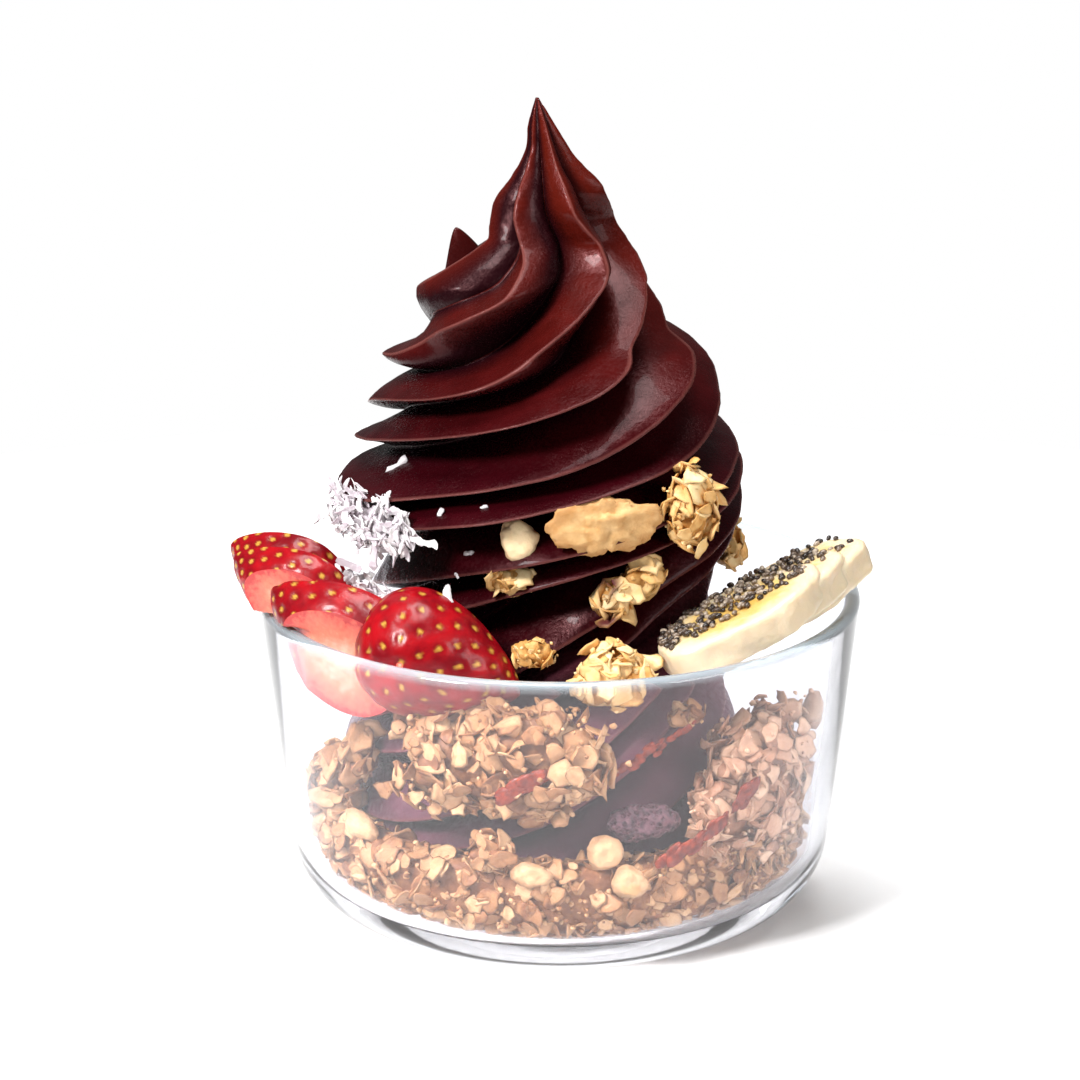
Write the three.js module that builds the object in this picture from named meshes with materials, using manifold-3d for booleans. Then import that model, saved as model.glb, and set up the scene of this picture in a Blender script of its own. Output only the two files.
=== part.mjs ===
// An acai bowl: a soft-served swirl of frozen acai in a round glass dish, on a bed of granola, with granola
// clusters, fanned strawberry slices, banana slices with chia seeds, almond and shredded coconut.
// Millimetres, +Z up. The origin is the centre of the dish's flat underside; the front of the bowl faces -Y.
// Azimuths are in degrees, counter-clockwise from +X, so -90 is the front.

import * as THREE from "three";
import { mergeVertices } from "three/addons/utils/BufferGeometryUtils.js";
import Module from "manifold-3d";

const wasm = await Module();
wasm.setup();

// ---------------------------------------------------------------- driving dimensions

const GAP = 0.35; // clearance between pieces that touch

const DISH = {
  rimRadius: 75.5,
  height: 81,
  baseRadius: 49.4,
  heelRadius: 19.2, // the round between the base and the wall
  innerHeelRadius: 15,
  wall: 4,
  floor: 7,
  sides: 48,
};

// The swirl is a stack of rings. Below each fin's edge its underside runs in to a groove, and from there a
// ledge runs out to the edge of the next fin. Each row of a list is [height, value].
const SWIRL = {
  fins: 6,
  top: 205,
  bottom: 24,
  rows: 41,
  // Where a fin's points lie: 0 is its edge, 1 is the bottom of the groove and 2 is the next fin's edge.
  finSteps: [0, 0.35, 0.7, 1, 1.3, 1.6, 1.85],
  radiusLeft: [
    [205, 0.4], [200, 2], [194, 3.2], [189, 5.6], [183.5, 9.5], [179, 12.2], [175, 13], [171.5, 13.6],
    [168.5, 17.5], [165, 23.5], [160.5, 29.5], [154, 33], [149, 33.5], [145, 36], [140, 40.5], [133, 42.5],
    [124, 44], [115.5, 49], [112, 54], [104, 50], [95, 44], [85, 42], [60, 48], [40, 51], [20, 48],
  ],
  radiusRight: [
    [205, 0.4], [200, 3], [192, 7.5], [188.5, 10.2], [184.5, 14], [179, 16.5], [173, 19], [166, 23.5],
    [160, 26.5], [154, 29], [149, 30.5], [144, 39], [138, 43], [128, 45], [118, 49], [108, 51.5], [99, 50],
    [90, 46], [80, 42], [60, 45], [40, 49], [20, 46],
  ],
  // How far the fins have wound round below the tip, counted in fins.
  winding: [
    [205, 0.5], [188, 0.58], [181, 0.55], [176, 0.4], [171, 0.24], [166, 0.3], [161, 0.6], [157, 0.86],
    [148.5, 1.3], [139, 2], [123, 3], [109, 4.5], [95.5, 6], [70, 8], [45, 9.8], [20, 11.5],
  ],
  leanRight: [[205, 0], [165, 3], [148, 4], [123, 0], [95, 5], [70, 10], [45, 10], [24, 1]],
  leanBack: [[205, 0], [165, 3], [148, 4], [123, 0.5], [95, 4], [70, 8], [45, 8], [24, 1]],
  centreX: [[205, -5.5], [180, -4], [150, -4], [110, -5], [45, -4], [20, -3]],
  centreY: [[205, 0], [150, -2], [110, 4], [45, 0], [20, 0]],
  // Where the groove lies between one fin's edge (0) and the next (1).
  grooveAt: [[205, 0.5], [185, 0.6], [165, 0.68], [150, 0.62], [138, 0.5], [125, 0.42], [60, 0.4], [20, 0.4]],
  // The groove's depth as a share of the radius.
  grooveDepth: [
    [205, 0.3], [190, 0.5], [170, 0.58], [155, 0.54], [140, 0.43], [120, 0.38], [90, 0.34], [70, 0.28],
    [45, 0.18], [20, 0.12],
  ],
  grooveLift: [[205, 0], [180, 1], [150, 1.5], [125, 3], [60, 3], [20, 1]],
  bulge: [[205, 0.2], [170, 0.3], [150, 0.35], [135, 0.1], [120, 0], [20, 0]], // roundness of the undersides
  crown: [[205, 0], [155, 0], [140, 0.25], [122, 0.5], [60, 0.6], [20, 0.6]], // roundness of the ledges
  // The grooves' depth at the far left, as a share of what it is elsewhere.
  leftGroove: [[205, 0.6], [172, 0.5], [160, 0.25], [150, 0.4], [138, 0.6], [20, 0.6]],
  pairing: [[205, 0], [140, 0], [118, 0.3], [60, 0.3], [20, 0]], // draws the fins together two by two
};

// A pinched-off curl of acai on the swirl's left shoulder.
const CURL = {
  at: [-22, 8, 158], lean: [-0.15, -0.1, 1], radius: 7, flatness: 0.6, length: 14, bend: 1.5, sides: 7,
};

// Bits of coconut on the swirl: where each one lies, as in swirlPoint, and half its length.
const BITS = [
  [112.2, 3, 1.6, 1.5], [114, 3, 1.6, 1.1], [103, 4, 1.5, 1.3], [99.8, 4, 1.95, 0.8], [93, 5, 1.5, 1.4],
  [116.5, 2, 1.35, 3.6],
];

const BED = {
  topHeight: 21, wallHeight: 29, floorRadius: 44, wallGap: 3, bumps: 1.6, flakes: 7, sides: 24,
};
const OAT = { radius: 3.7, thickness: 1.5, sides: 5 };
const STRAWBERRY = { length: 42, width: 33, sides: 12 };
const BANANA = { length: 46, width: 26, thickness: 8.2, sides: 12, roundEdge: 1.4 };
const CHIA = { length: 2.4, width: 1.7, count: 14 };
const SHRED = { length: 9, width: 2, thickness: 1.1 };

// Lumps of toasted oats: the centre, the half sizes along a lump's own axes, the turn and tilt of its long
// axis, the number of flakes that stand out of it, and its seed.
const CLUSTERS = {
  granola_front: { at: [-15, -56, 56], half: [25.5, 8, 19], azimuth: -15, tilt: 4, flakes: 12, seed: 11 },
  granola_left: { at: [-49.5, -29.5, 47], half: [4, 4, 6.5], azimuth: 60, tilt: 0, flakes: 4, seed: 12 },
  granola_left_heap: { at: [-56.5, -17, 33], half: [9, 5.5, 12], azimuth: -66, tilt: 0, flakes: 7, seed: 13 },
  granola_right_heap: { at: [47, -35, 41], half: [21.5, 8, 19], azimuth: 50, tilt: -12, flakes: 9, seed: 14 },
  granola_on_swirl: {
    at: [31.5, -34, 111], half: [7.5, 4.5, 9.5],
    azimuth: 42, tilt: 0, flakes: 6, seed: 15,
  },
  granola_stained: { at: [16, -38, 92], half: [9.5, 3.6, 4.5], azimuth: 24, tilt: -32, flakes: 5, seed: 16 },
  granola_bits: { at: [-12.5, -39, 95], half: [5.5, 2.5, 3], azimuth: 0, tilt: 0, flakes: 4, seed: 17 },
  granola_rim_small: { at: [-6.5, -50, 80], half: [4.4, 3.2, 4], azimuth: 0, tilt: 0, flakes: 3, seed: 18 },
  granola_rim: { at: [12.5, -54, 75.5], half: [10.5, 5.5, 7.5], azimuth: 12, tilt: -8, flakes: 7, seed: 19 },
  granola_back_right: { at: [43.5, 9, 88], half: [3, 3.5, 5.5], azimuth: 0, tilt: 0, flakes: 4, seed: 20 },
  granola_behind_wall: { at: [30.5, -41, 61], half: [4, 3, 3.2], azimuth: 40, tilt: 0, flakes: 3, seed: 21 },
  granola_low_front: {
    at: [-17, -59, 32.5], half: [5, 3.2, 5.2],
    azimuth: -16, tilt: 0, flakes: 4, seed: 22,
  },
};

// Single nuts, oats and chips: the centre, the half sizes and the turns of the long axis.
const PEBBLES = {
  almond_flake: { at: [11.3, -42.5, 109.5], half: [14.8, 2.6, 6.8], azimuth: 16, tilt: -5, seed: 31 },
  hazelnut: { at: [-9.5, -41, 105.5], half: [4.4, 3, 5.2], azimuth: -10, tilt: -12, seed: 32 },
  oat_left: { at: [-48, -37, 31], half: [5.6, 2.4, 3.2], azimuth: -40, tilt: 18, seed: 33 },
  oat_front: { at: [-6.5, -62.8, 28.5], half: [5.2, 2, 3], azimuth: -4, tilt: 5, seed: 34 },
  nut_front: { at: [11, -59.5, 33], half: [4.4, 2.8, 4.2], azimuth: 10, tilt: 0, seed: 35 },
  nut_low: { at: [16.8, -61, 26], half: [4.9, 2.4, 4], azimuth: 18, tilt: 20, seed: 36 },
  acai_chip: { at: [19.8, -53.5, 38.5], half: [9.2, 2.6, 4.6], azimuth: 20, tilt: 4, seed: 37 },
};

// Strawberry pieces: the middle of the whole fruit, the way the piece faces, the way the fruit's tip points,
// where the piece starts and ends, measured from the middle the way it faces, and how large the fruit is.
const STRAWBERRIES = {
  strawberry_half: {
    at: [-28.5, -45, 76.5], face: [-0.25, -0.93, 0.1], tip: [0.9, -0.2, -0.3], cuts: [0, 20], size: 1,
  },
  strawberry_slice_1: {
    at: [-51.5, -31, 79], face: [-0.42, -0.88, -0.22], tip: [-0.75, 0.2, 0.42], cuts: [2, 10], size: 1.08,
  },
  strawberry_slice_2: {
    at: [-64.5, -21, 87.5], face: [-0.42, -0.88, -0.22], tip: [-0.82, 0.3, 0.36], cuts: [2, 8], size: 0.86,
  },
  strawberry_slice_3: {
    at: [-66.5, -9, 88], face: [-0.42, -0.88, -0.22], tip: [-0.82, 0.3, 0.3], cuts: [2, 8], size: 0.84,
  },
};

// Banana slices lie like roof tiles: the first one's centre, the step to the next, and the way they face.
const TILES = {
  at: [44, -38, 84], step: [6.2, 9, 0.8], up: [-0.35, -0.05, 0.93], along: [0.866, 0.5, 0.3], count: 3,
};

const COCONUT = {
  coconut_heap: { at: [-44, -25, 105], half: [21, 5, 8.5], azimuth: -46, tilt: 8, shreds: 9, seed: 51 },
  coconut_low: { at: [-41, -31, 88.5], half: [18, 3, 3], azimuth: -38, tilt: 14, shreds: 5, seed: 52 },
};

const COLOURS = {
  glass: 0xdfe9ee, acai: 0x4a1c22, granola: 0xd9a566, almond: 0xe3b673, strawberry: 0xb5121b,
  banana: 0xf1dfa0, coconut: 0xf2eef0, chip: 0x6b4a58,
};

// ---------------------------------------------------------------- small helpers

const radians = THREE.MathUtils.degToRad;

// Numbers between 0 and 1 that are the same at every run.
function seededRandom(seed) {
  let state = seed * 2654435761;
  return () => {
    state = (state + 0x6d2b79f5) | 0;
    let t = Math.imul(state ^ (state >>> 15), 1 | state);
    t = (t + Math.imul(t ^ (t >>> 7), 61 | t)) ^ t;
    return ((t ^ (t >>> 14)) >>> 0) / 4294967296;
  };
}

// A smooth curve through [height, value] rows that never overshoots them.
function curveThrough(rows) {
  const sorted = [...rows].sort((a, b) => a[0] - b[0]);
  const x = sorted.map((row) => row[0]);
  const y = sorted.map((row) => row[1]);
  const last = x.length - 1;
  const slope = (i) => (y[i + 1] - y[i]) / (x[i + 1] - x[i]);
  const tangent = x.map((_, i) => {
    if (i === 0) return slope(0);
    if (i === last) return slope(last - 1);
    const before = slope(i - 1);
    const after = slope(i);
    if (before * after <= 0) return 0;
    return (2 * before * after) / (before + after);
  });
  return (value) => {
    const v = Math.min(Math.max(value, x[0]), x[last]);
    let i = 0;
    while (i < last - 1 && v > x[i + 1]) i++;
    const width = x[i + 1] - x[i];
    const t = (v - x[i]) / width;
    const a = y[i] * (1 + 2 * t) + tangent[i] * width * t;
    const b = y[i + 1] * (3 - 2 * t) - tangent[i + 1] * width * (1 - t);
    return a * (1 - t) ** 2 + b * t ** 2;
  };
}

// A manifold solid from any closed geometry.
function solidOf(geometry) {
  const bare = geometry.index ? geometry.toNonIndexed() : geometry.clone();
  for (const name of Object.keys(bare.attributes)) if (name !== "position") bare.deleteAttribute(name);
  const merged = mergeVertices(bare, 1e-4);
  const mesh = new wasm.Mesh({
    numProp: 3,
    vertProperties: new Float32Array(merged.attributes.position.array),
    triVerts: new Uint32Array(merged.index.array),
  });
  const solid = new wasm.Manifold(mesh);
  if (solid.volume() >= 0) return solid;
  for (let i = 0; i < mesh.triVerts.length; i += 3) {
    [mesh.triVerts[i + 1], mesh.triVerts[i + 2]] = [mesh.triVerts[i + 2], mesh.triVerts[i + 1]];
  }
  return new wasm.Manifold(mesh);
}

// The largest body of a solid, without loose scraps.
function largest(solid) {
  return solid.decompose().reduce((a, b) => (b.volume() > a.volume() ? b : a));
}

function joined(solids) {
  return solids.reduce((a, b) => a.add(b));
}

// The space a solid takes up with its clearance: the solid and its copies a gap away along each axis.
function withClearance(solid) {
  const shifts = [[GAP, 0, 0], [-GAP, 0, 0], [0, GAP, 0], [0, -GAP, 0], [0, 0, GAP], [0, 0, -GAP]];
  return joined([solid, ...shifts.map((shift) => solid.translate(shift))]);
}

function carved(solid, obstacles) {
  return largest(obstacles.reduce((a, b) => a.subtract(b), solid));
}

function geometryOf(solid) {
  const { vertProperties, triVerts, numProp } = solid.getMesh();
  const geometry = new THREE.BufferGeometry();
  const positions = new Float32Array((vertProperties.length / numProp) * 3);
  for (let i = 0; i < positions.length / 3; i++) {
    positions.set(vertProperties.subarray(i * numProp, i * numProp + 3), i * 3);
  }
  geometry.setAttribute("position", new THREE.BufferAttribute(positions, 3));
  geometry.setIndex(new THREE.BufferAttribute(triVerts, 1));
  geometry.computeVertexNormals();
  return geometry;
}

// A closed surface over rings of equal length, with a flat fan over its first and last ring.
function ringsGeometry(rings) {
  const count = rings[0].length;
  const centre = (ring) => ring.reduce((sum, p) => sum.add(p), new THREE.Vector3()).divideScalar(count);
  const points = [...rings.flat(), centre(rings[0]), centre(rings.at(-1))];
  const index = [];
  for (let r = 0; r + 1 < rings.length; r++) {
    for (let i = 0; i < count; i++) {
      const a = r * count + i;
      const b = r * count + ((i + 1) % count);
      index.push(a, a + count, b + count, a, b + count, b);
    }
  }
  const first = rings.length * count;
  const lastRing = (rings.length - 1) * count;
  for (let i = 0; i < count; i++) {
    const next = (i + 1) % count;
    index.push(first, i, next, first + 1, lastRing + next, lastRing + i);
  }
  return new THREE.BufferGeometry().setFromPoints(points).setIndex(index);
}

// A frame with its X along `along` and its Z along `up`, at a place.
function frameAt(place, along, up) {
  const z = new THREE.Vector3(...up).normalize();
  const x = new THREE.Vector3(...along);
  x.addScaledVector(z, -x.dot(z)).normalize();
  const y = new THREE.Vector3().crossVectors(z, x);
  return new THREE.Matrix4().makeBasis(x, y, z).setPosition(...place);
}

// Turned about Z by the azimuth after a tilt about the piece's own Y.
function turnedAt(place, azimuth, tilt) {
  const turn = new THREE.Matrix4().makeRotationZ(radians(azimuth));
  turn.multiply(new THREE.Matrix4().makeRotationY(radians(tilt)));
  return turn.setPosition(...place);
}

// ---------------------------------------------------------------- the glass dish

// The dish's wall line leaves the heel's arc at a tangent and ends at the rim.
const rimCentre = new THREE.Vector2(DISH.rimRadius - DISH.wall / 2, DISH.height - DISH.wall / 2);
const heelEnd = (() => {
  const across = rimCentre.x - DISH.baseRadius;
  const up = rimCentre.y - DISH.heelRadius;
  return Math.atan2(up, across) - Math.acos((DISH.heelRadius - DISH.wall / 2) / Math.hypot(across, up));
})();

function arc(centreX, centreZ, radius, from, to, steps) {
  return Array.from({ length: steps + 1 }, (_, i) => {
    const angle = from + ((to - from) * i) / steps;
    return new THREE.Vector2(centreX + radius * Math.cos(angle), centreZ + radius * Math.sin(angle));
  });
}

// The radius at a height of a line `inward` of the middle of the wall.
function wallRadius(height, inward) {
  return rimCentre.x - (inward + (height - rimCentre.y) * Math.sin(heelEnd)) / Math.cos(heelEnd);
}

const innerHeel = {
  height: DISH.floor + DISH.innerHeelRadius,
  radius: wallRadius(DISH.floor + DISH.innerHeelRadius, DISH.wall / 2 + DISH.innerHeelRadius),
};

function dishGeometry(grow = 0) {
  const half = DISH.wall / 2 + grow;
  const profile = [
    new THREE.Vector2(0, -grow),
    ...arc(DISH.baseRadius, DISH.heelRadius, DISH.heelRadius + grow, -Math.PI / 2, heelEnd, 4),
    ...arc(rimCentre.x, rimCentre.y, half, heelEnd, heelEnd + Math.PI, 4),
    ...arc(innerHeel.radius, innerHeel.height, DISH.innerHeelRadius - grow, heelEnd, -Math.PI / 2, 3),
    new THREE.Vector2(0, DISH.floor + grow),
  ];
  const lathe = new THREE.LatheGeometry(profile, DISH.sides);
  return lathe.rotateX(Math.PI / 2);
}

// ---------------------------------------------------------------- the swirl

const swirl = Object.fromEntries(
  Object.entries(SWIRL).map(([name, value]) => {
    return [name, Array.isArray(value[0]) ? curveThrough(value) : value];
  }),
);

// A point of the swirl. `level` is the height of its ring before the ring leans, `fin` counts the fins and
// `step` runs over the fin, as in SWIRL.finSteps.
function swirlPoint(level, fin, step) {
  const groove = swirl.grooveAt(level);
  const share = step < 1 ? step * groove : groove + (step - 1) * (1 - groove);
  const round = step < 1 ? swirl.bulge(level) : swirl.crown(level);
  const inward = step < 1 ? step : 2 - step;
  const hollow = THREE.MathUtils.lerp(inward, 1 - Math.cos((inward * Math.PI) / 2), round);
  const paired = fin + share - (swirl.pairing(level) * Math.cos(Math.PI * (fin + share))) / 2;
  const angle = -Math.PI / 2 + ((paired - swirl.winding(level)) * 2 * Math.PI) / SWIRL.fins;
  const lean = swirl.leanRight(level) * Math.cos(angle) + swirl.leanBack(level) * Math.sin(angle);
  const height = level + lean + swirl.grooveLift(level) * hollow;
  const side = THREE.MathUtils.smoothstep(Math.cos(angle), -1, 1);
  const nearLeft = THREE.MathUtils.smoothstep(Math.cos(angle), -1, -0.2);
  const depth = swirl.grooveDepth(level) * THREE.MathUtils.lerp(swirl.leftGroove(level), 1, nearLeft);
  const edge = THREE.MathUtils.lerp(swirl.radiusLeft(height), swirl.radiusRight(height), side);
  const radius = edge * (1 - depth * hollow);
  return new THREE.Vector3(
    swirl.centreX(level) + radius * Math.cos(angle),
    swirl.centreY(level) + radius * Math.sin(angle),
    height,
  );
}

function swirlGeometry() {
  const rings = [];
  for (let row = 0; row < SWIRL.rows; row++) {
    const level = THREE.MathUtils.lerp(SWIRL.top, SWIRL.bottom, row / (SWIRL.rows - 1));
    const ring = [];
    for (let fin = 0; fin < SWIRL.fins; fin++) {
      for (const step of SWIRL.finSteps) ring.push(swirlPoint(level, fin, step));
    }
    rings.push(ring);
  }
  return ringsGeometry(rings);
}

// The pinched-off curl: a bent, tapering horn whose foot is sunk in the swirl.
function curlGeometry() {
  const rings = [1, 0.85, 0.5, 0].map((share) => {
    const radius = CURL.radius * (1 - share) ** 0.75 + 0.25;
    return Array.from({ length: CURL.sides }, (_, i) => {
      const angle = (i * 2 * Math.PI) / CURL.sides;
      const x = radius * Math.cos(angle) - CURL.bend * share ** 2;
      return new THREE.Vector3(x, radius * CURL.flatness * Math.sin(angle), share * CURL.length);
    });
  });
  return ringsGeometry(rings).applyMatrix4(frameAt(CURL.at, [1, 0, 0], CURL.lean));
}

// The swirl with its curl and the bits of coconut that cling to it.
function swirlSolid() {
  const bits = BITS.map(([level, fin, step, half]) => {
    const bit = new THREE.OctahedronGeometry(half, 0).scale(0.7, 0.7, 1);
    return solidOf(bit.translate(...swirlPoint(level, fin, step).toArray()));
  });
  return largest(joined([solidOf(swirlGeometry()), solidOf(curlGeometry()), ...bits]));
}

// ---------------------------------------------------------------- granola

// A rolled oat: a thin lens with few sides.
function oatGeometry(radius, thickness) {
  const profile = [
    new THREE.Vector2(0, -thickness / 2),
    new THREE.Vector2(radius, 0),
    new THREE.Vector2(0, thickness / 2),
  ];
  return new THREE.LatheGeometry(profile, OAT.sides).rotateX(Math.PI / 2);
}

// A ball of half size 1 with seeded dents and bumps.
function roughBall(segments, rings, roughness, random) {
  const ball = mergeVertices(bareSphere(segments, rings), 1e-4);
  const position = ball.attributes.position;
  for (let i = 0; i < position.count; i++) {
    const swell = 1 + roughness * (random() - 0.5) * 2;
    position.setXYZ(i, position.getX(i) * swell, position.getY(i) * swell, position.getZ(i) * swell);
  }
  return ball;
}

function bareSphere(segments, rings) {
  const sphere = new THREE.SphereGeometry(1, segments, rings);
  sphere.deleteAttribute("normal");
  sphere.deleteAttribute("uv");
  return sphere;
}

// A lump: a rough core with oats fused on, each lying roughly along the core's surface.
function clusterSolid({ at, half, azimuth, tilt, flakes, seed }) {
  const random = seededRandom(seed);
  const place = turnedAt(at, azimuth, tilt);
  const core = roughBall(8, 5, 0.12, random).scale(half[0] * 0.88, half[1] * 0.88, half[2] * 0.88);
  const pieces = [solidOf(core.applyMatrix4(place))];
  const golden = Math.PI * (3 - Math.sqrt(5));
  for (let i = 0; i < flakes; i++) {
    const up = 1 - (2 * (i + 0.5)) / flakes;
    const round = golden * i + random() * 0.5;
    const side = Math.sqrt(1 - up * up);
    const out = new THREE.Vector3(side * Math.cos(round), side * Math.sin(round), up);
    const spot = out.clone().multiply(new THREE.Vector3(...half)).multiplyScalar(0.86);
    const lean = new THREE.Vector3(random() - 0.5, random() - 0.5, random() - 0.5).multiplyScalar(1.3);
    const facing = out.clone().divide(new THREE.Vector3(...half)).normalize().add(lean);
    const size = OAT.radius * (0.75 + 0.5 * random()) * Math.min(1, Math.max(...half) / 6);
    const oat = oatGeometry(size, OAT.thickness);
    oat.applyMatrix4(frameAt(spot.toArray(), [1, 0.3, 0.2], facing.toArray()));
    pieces.push(solidOf(oat.applyMatrix4(place)));
  }
  return largest(joined(pieces));
}

// The granola that lies on the dish's floor and fills the dish's heel, with oats standing out of its top.
function bedSolid() {
  const random = seededRandom(5);
  const heel = arc(innerHeel.radius, innerHeel.height, DISH.innerHeelRadius - GAP, -Math.PI / 2, heelEnd, 4);
  const inward = BED.wallGap - GAP;
  const ring = (radius, height, rough) =>
    Array.from({ length: BED.sides }, (_, i) => {
      const angle = (i * 2 * Math.PI) / BED.sides;
      const bump = rough * (random() - 0.5);
      return new THREE.Vector3(radius * Math.cos(angle), radius * Math.sin(angle), height + bump);
    });
  const rings = heel.map((corner) => ring(corner.x - inward, corner.y, 0));
  const wall = wallRadius(BED.wallHeight, DISH.wall / 2 + BED.wallGap);
  const steps = [
    [wall - 0.3, BED.wallHeight],
    [wall - 5, BED.wallHeight + 0.5],
    [wall - 11, BED.wallHeight - 2],
    [BED.floorRadius, BED.topHeight],
  ];
  for (const [radius, height] of steps) rings.push(ring(radius, height, BED.bumps));
  const pieces = [solidOf(ringsGeometry(rings))];
  for (let i = 0; i < BED.flakes; i++) {
    const angle = ((i + random() * 0.6) / BED.flakes) * 2 * Math.PI;
    const out = BED.floorRadius + 6 + 8 * random();
    const place = [out * Math.cos(angle), out * Math.sin(angle), BED.wallHeight + random()];
    const facing = [random() - 0.5, random() - 0.5, 0.9];
    const oat = oatGeometry(OAT.radius * (0.8 + 0.4 * random()), OAT.thickness);
    pieces.push(solidOf(oat.applyMatrix4(frameAt(place, [1, 0.2, 0], facing))));
  }
  return largest(joined(pieces));
}

// A nut, a single oat or a chip: a flattened ball with blunt, uneven edges.
function pebbleSolid({ at, half, azimuth, tilt, seed }) {
  const ball = roughBall(10, 6, 0.07, seededRandom(seed));
  ball.scale(...half).applyMatrix4(turnedAt(at, azimuth, tilt));
  return solidOf(ball);
}

// ---------------------------------------------------------------- fruit

// A whole strawberry, its tip along +X and its widest part towards the other end.
function strawberryGeometry(size, grow) {
  const steps = 7;
  const profile = Array.from({ length: steps + 1 }, (_, i) => {
    const share = i / steps;
    const round = Math.sin(Math.PI * share ** 0.72) ** 0.62;
    const radius = (STRAWBERRY.width / 2) * size * round * (1 - 0.12 * share) + grow;
    const along = (share - 0.5) * (STRAWBERRY.length * size + 2 * grow);
    return new THREE.Vector2(i === 0 || i === steps ? 0 : radius, along);
  });
  return new THREE.LatheGeometry(profile, STRAWBERRY.sides).rotateZ(-Math.PI / 2);
}

// The part of a strawberry between two parallel cuts.
function strawberrySolid({ at, face, tip, cuts, size }, grow = 0) {
  const fruit = solidOf(strawberryGeometry(size, grow));
  const thickness = cuts[1] - cuts[0] + 2 * grow;
  const slab = solidOf(new THREE.BoxGeometry(90, 90, thickness).translate(0, 0, (cuts[0] + cuts[1]) / 2));
  const place = frameAt(at, tip, face);
  return solidOf(geometryOf(fruit.intersect(slab)).applyMatrix4(place));
}

// A slanting slice of banana: an oval disc with a soft edge.
function bananaSolid(place, grow = 0) {
  const oval = new THREE.Shape();
  const inset = BANANA.roundEdge - grow;
  oval.absellipse(0, 0, BANANA.length / 2 - inset, BANANA.width / 2 - inset, 0, 2 * Math.PI);
  const disc = new THREE.ExtrudeGeometry(oval, {
    depth: BANANA.thickness - 2 * BANANA.roundEdge + 2 * grow,
    bevelThickness: BANANA.roundEdge,
    bevelSize: BANANA.roundEdge,
    bevelSegments: 1,
    curveSegments: BANANA.sides,
    steps: 1,
  });
  disc.translate(0, 0, BANANA.roundEdge - BANANA.thickness / 2 - grow);
  return solidOf(disc.applyMatrix4(place));
}

// Chia seeds, sunk a little into the top of a banana slice, in a band along its inner edge.
function chiaSolids(place) {
  const random = seededRandom(71);
  return Array.from({ length: CHIA.count }, (_, i) => {
    const along = ((i + random()) / CHIA.count - 0.5) * BANANA.length * 0.8;
    const reach = Math.sqrt(1 - (along / (BANANA.length / 2)) ** 2) * (BANANA.width / 2);
    const across = reach * (0.75 - 0.85 * random());
    const seed = new THREE.OctahedronGeometry(1, 0).scale(CHIA.length / 2, CHIA.width / 2, CHIA.width / 2);
    seed.rotateZ(random() * Math.PI).translate(along, across, BANANA.thickness / 2 + CHIA.width * 0.2);
    return solidOf(seed.applyMatrix4(place));
  });
}

// A heap of coconut shreds over a thin pad.
function coconutSolid({ at, half, azimuth, tilt, shreds, seed }) {
  const random = seededRandom(seed);
  const place = turnedAt(at, azimuth, tilt);
  const pad = roughBall(8, 5, 0.15, random).scale(half[0] * 0.85, half[1] * 0.6, half[2] * 0.8);
  const pieces = [solidOf(pad.applyMatrix4(place))];
  for (let i = 0; i < shreds; i++) {
    const round = (i / shreds) * 2 * Math.PI + random();
    const reach = Math.sqrt(random());
    const spot = [
      half[0] * 0.85 * reach * Math.cos(round),
      -half[1] * (0.55 + 0.25 * random()) * Math.sqrt(1 - 0.8 * reach * reach),
      half[2] * 0.8 * reach * Math.sin(round),
    ];
    const along = [random() - 0.5, 0.5 * (random() - 0.5), random() - 0.5];
    const facing = [random() - 0.5, -1, random() - 0.5];
    const length = SHRED.length * (0.6 + 0.6 * random());
    const shred = new THREE.BoxGeometry(length, SHRED.width, SHRED.thickness);
    pieces.push(solidOf(shred.applyMatrix4(frameAt(spot, along, facing)).applyMatrix4(place)));
  }
  return largest(joined(pieces));
}

// ---------------------------------------------------------------- assembly

const object = new THREE.Group();

function addNode(name, geometry, colour, roughness = 0.6) {
  const material = new THREE.MeshStandardMaterial({ color: colour, roughness, metalness: 0 });
  const mesh = new THREE.Mesh(geometry, material);
  mesh.name = name;
  object.add(mesh);
}

const swirlBody = swirlSolid();
const bed = bedSolid();
const obstacles = [withClearance(swirlBody), solidOf(dishGeometry(GAP)), withClearance(bed)];

addNode("glass_bowl", dishGeometry(), COLOURS.glass, 0.05);
addNode("granola_bed", geometryOf(carved(bed, [obstacles[0]])), COLOURS.granola, 0.8);
addNode("acai_swirl", geometryOf(swirlBody), COLOURS.acai, 0.35);

// Fruit goes in front to back, and each piece makes way for those already in place.
for (const [name, piece] of Object.entries(STRAWBERRIES)) {
  addNode(name, geometryOf(carved(strawberrySolid(piece), obstacles)), COLOURS.strawberry, 0.3);
  obstacles.push(strawberrySolid(piece, GAP));
}
for (let i = 0; i < TILES.count; i++) {
  const centre = TILES.at.map((value, axis) => value + TILES.step[axis] * i);
  const place = frameAt(centre, TILES.along, TILES.up);
  const slice = i === 0 ? joined([bananaSolid(place), ...chiaSolids(place)]) : bananaSolid(place);
  addNode("banana_slice_" + (i + 1), geometryOf(carved(slice, obstacles)), COLOURS.banana, 0.5);
  obstacles.push(bananaSolid(place, GAP));
}
for (const [name, heap] of Object.entries(COCONUT)) {
  addNode(name, geometryOf(carved(coconutSolid(heap), obstacles)), COLOURS.coconut, 0.9);
}
for (const [name, pebble] of Object.entries(PEBBLES)) {
  const colour = name === "acai_chip" ? COLOURS.chip : COLOURS.almond;
  addNode(name, geometryOf(carved(pebbleSolid(pebble), obstacles)), colour, 0.7);
}
for (const [name, cluster] of Object.entries(CLUSTERS)) {
  addNode(name, geometryOf(carved(clusterSolid(cluster), obstacles)), COLOURS.granola, 0.8);
}

export default object;
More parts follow.
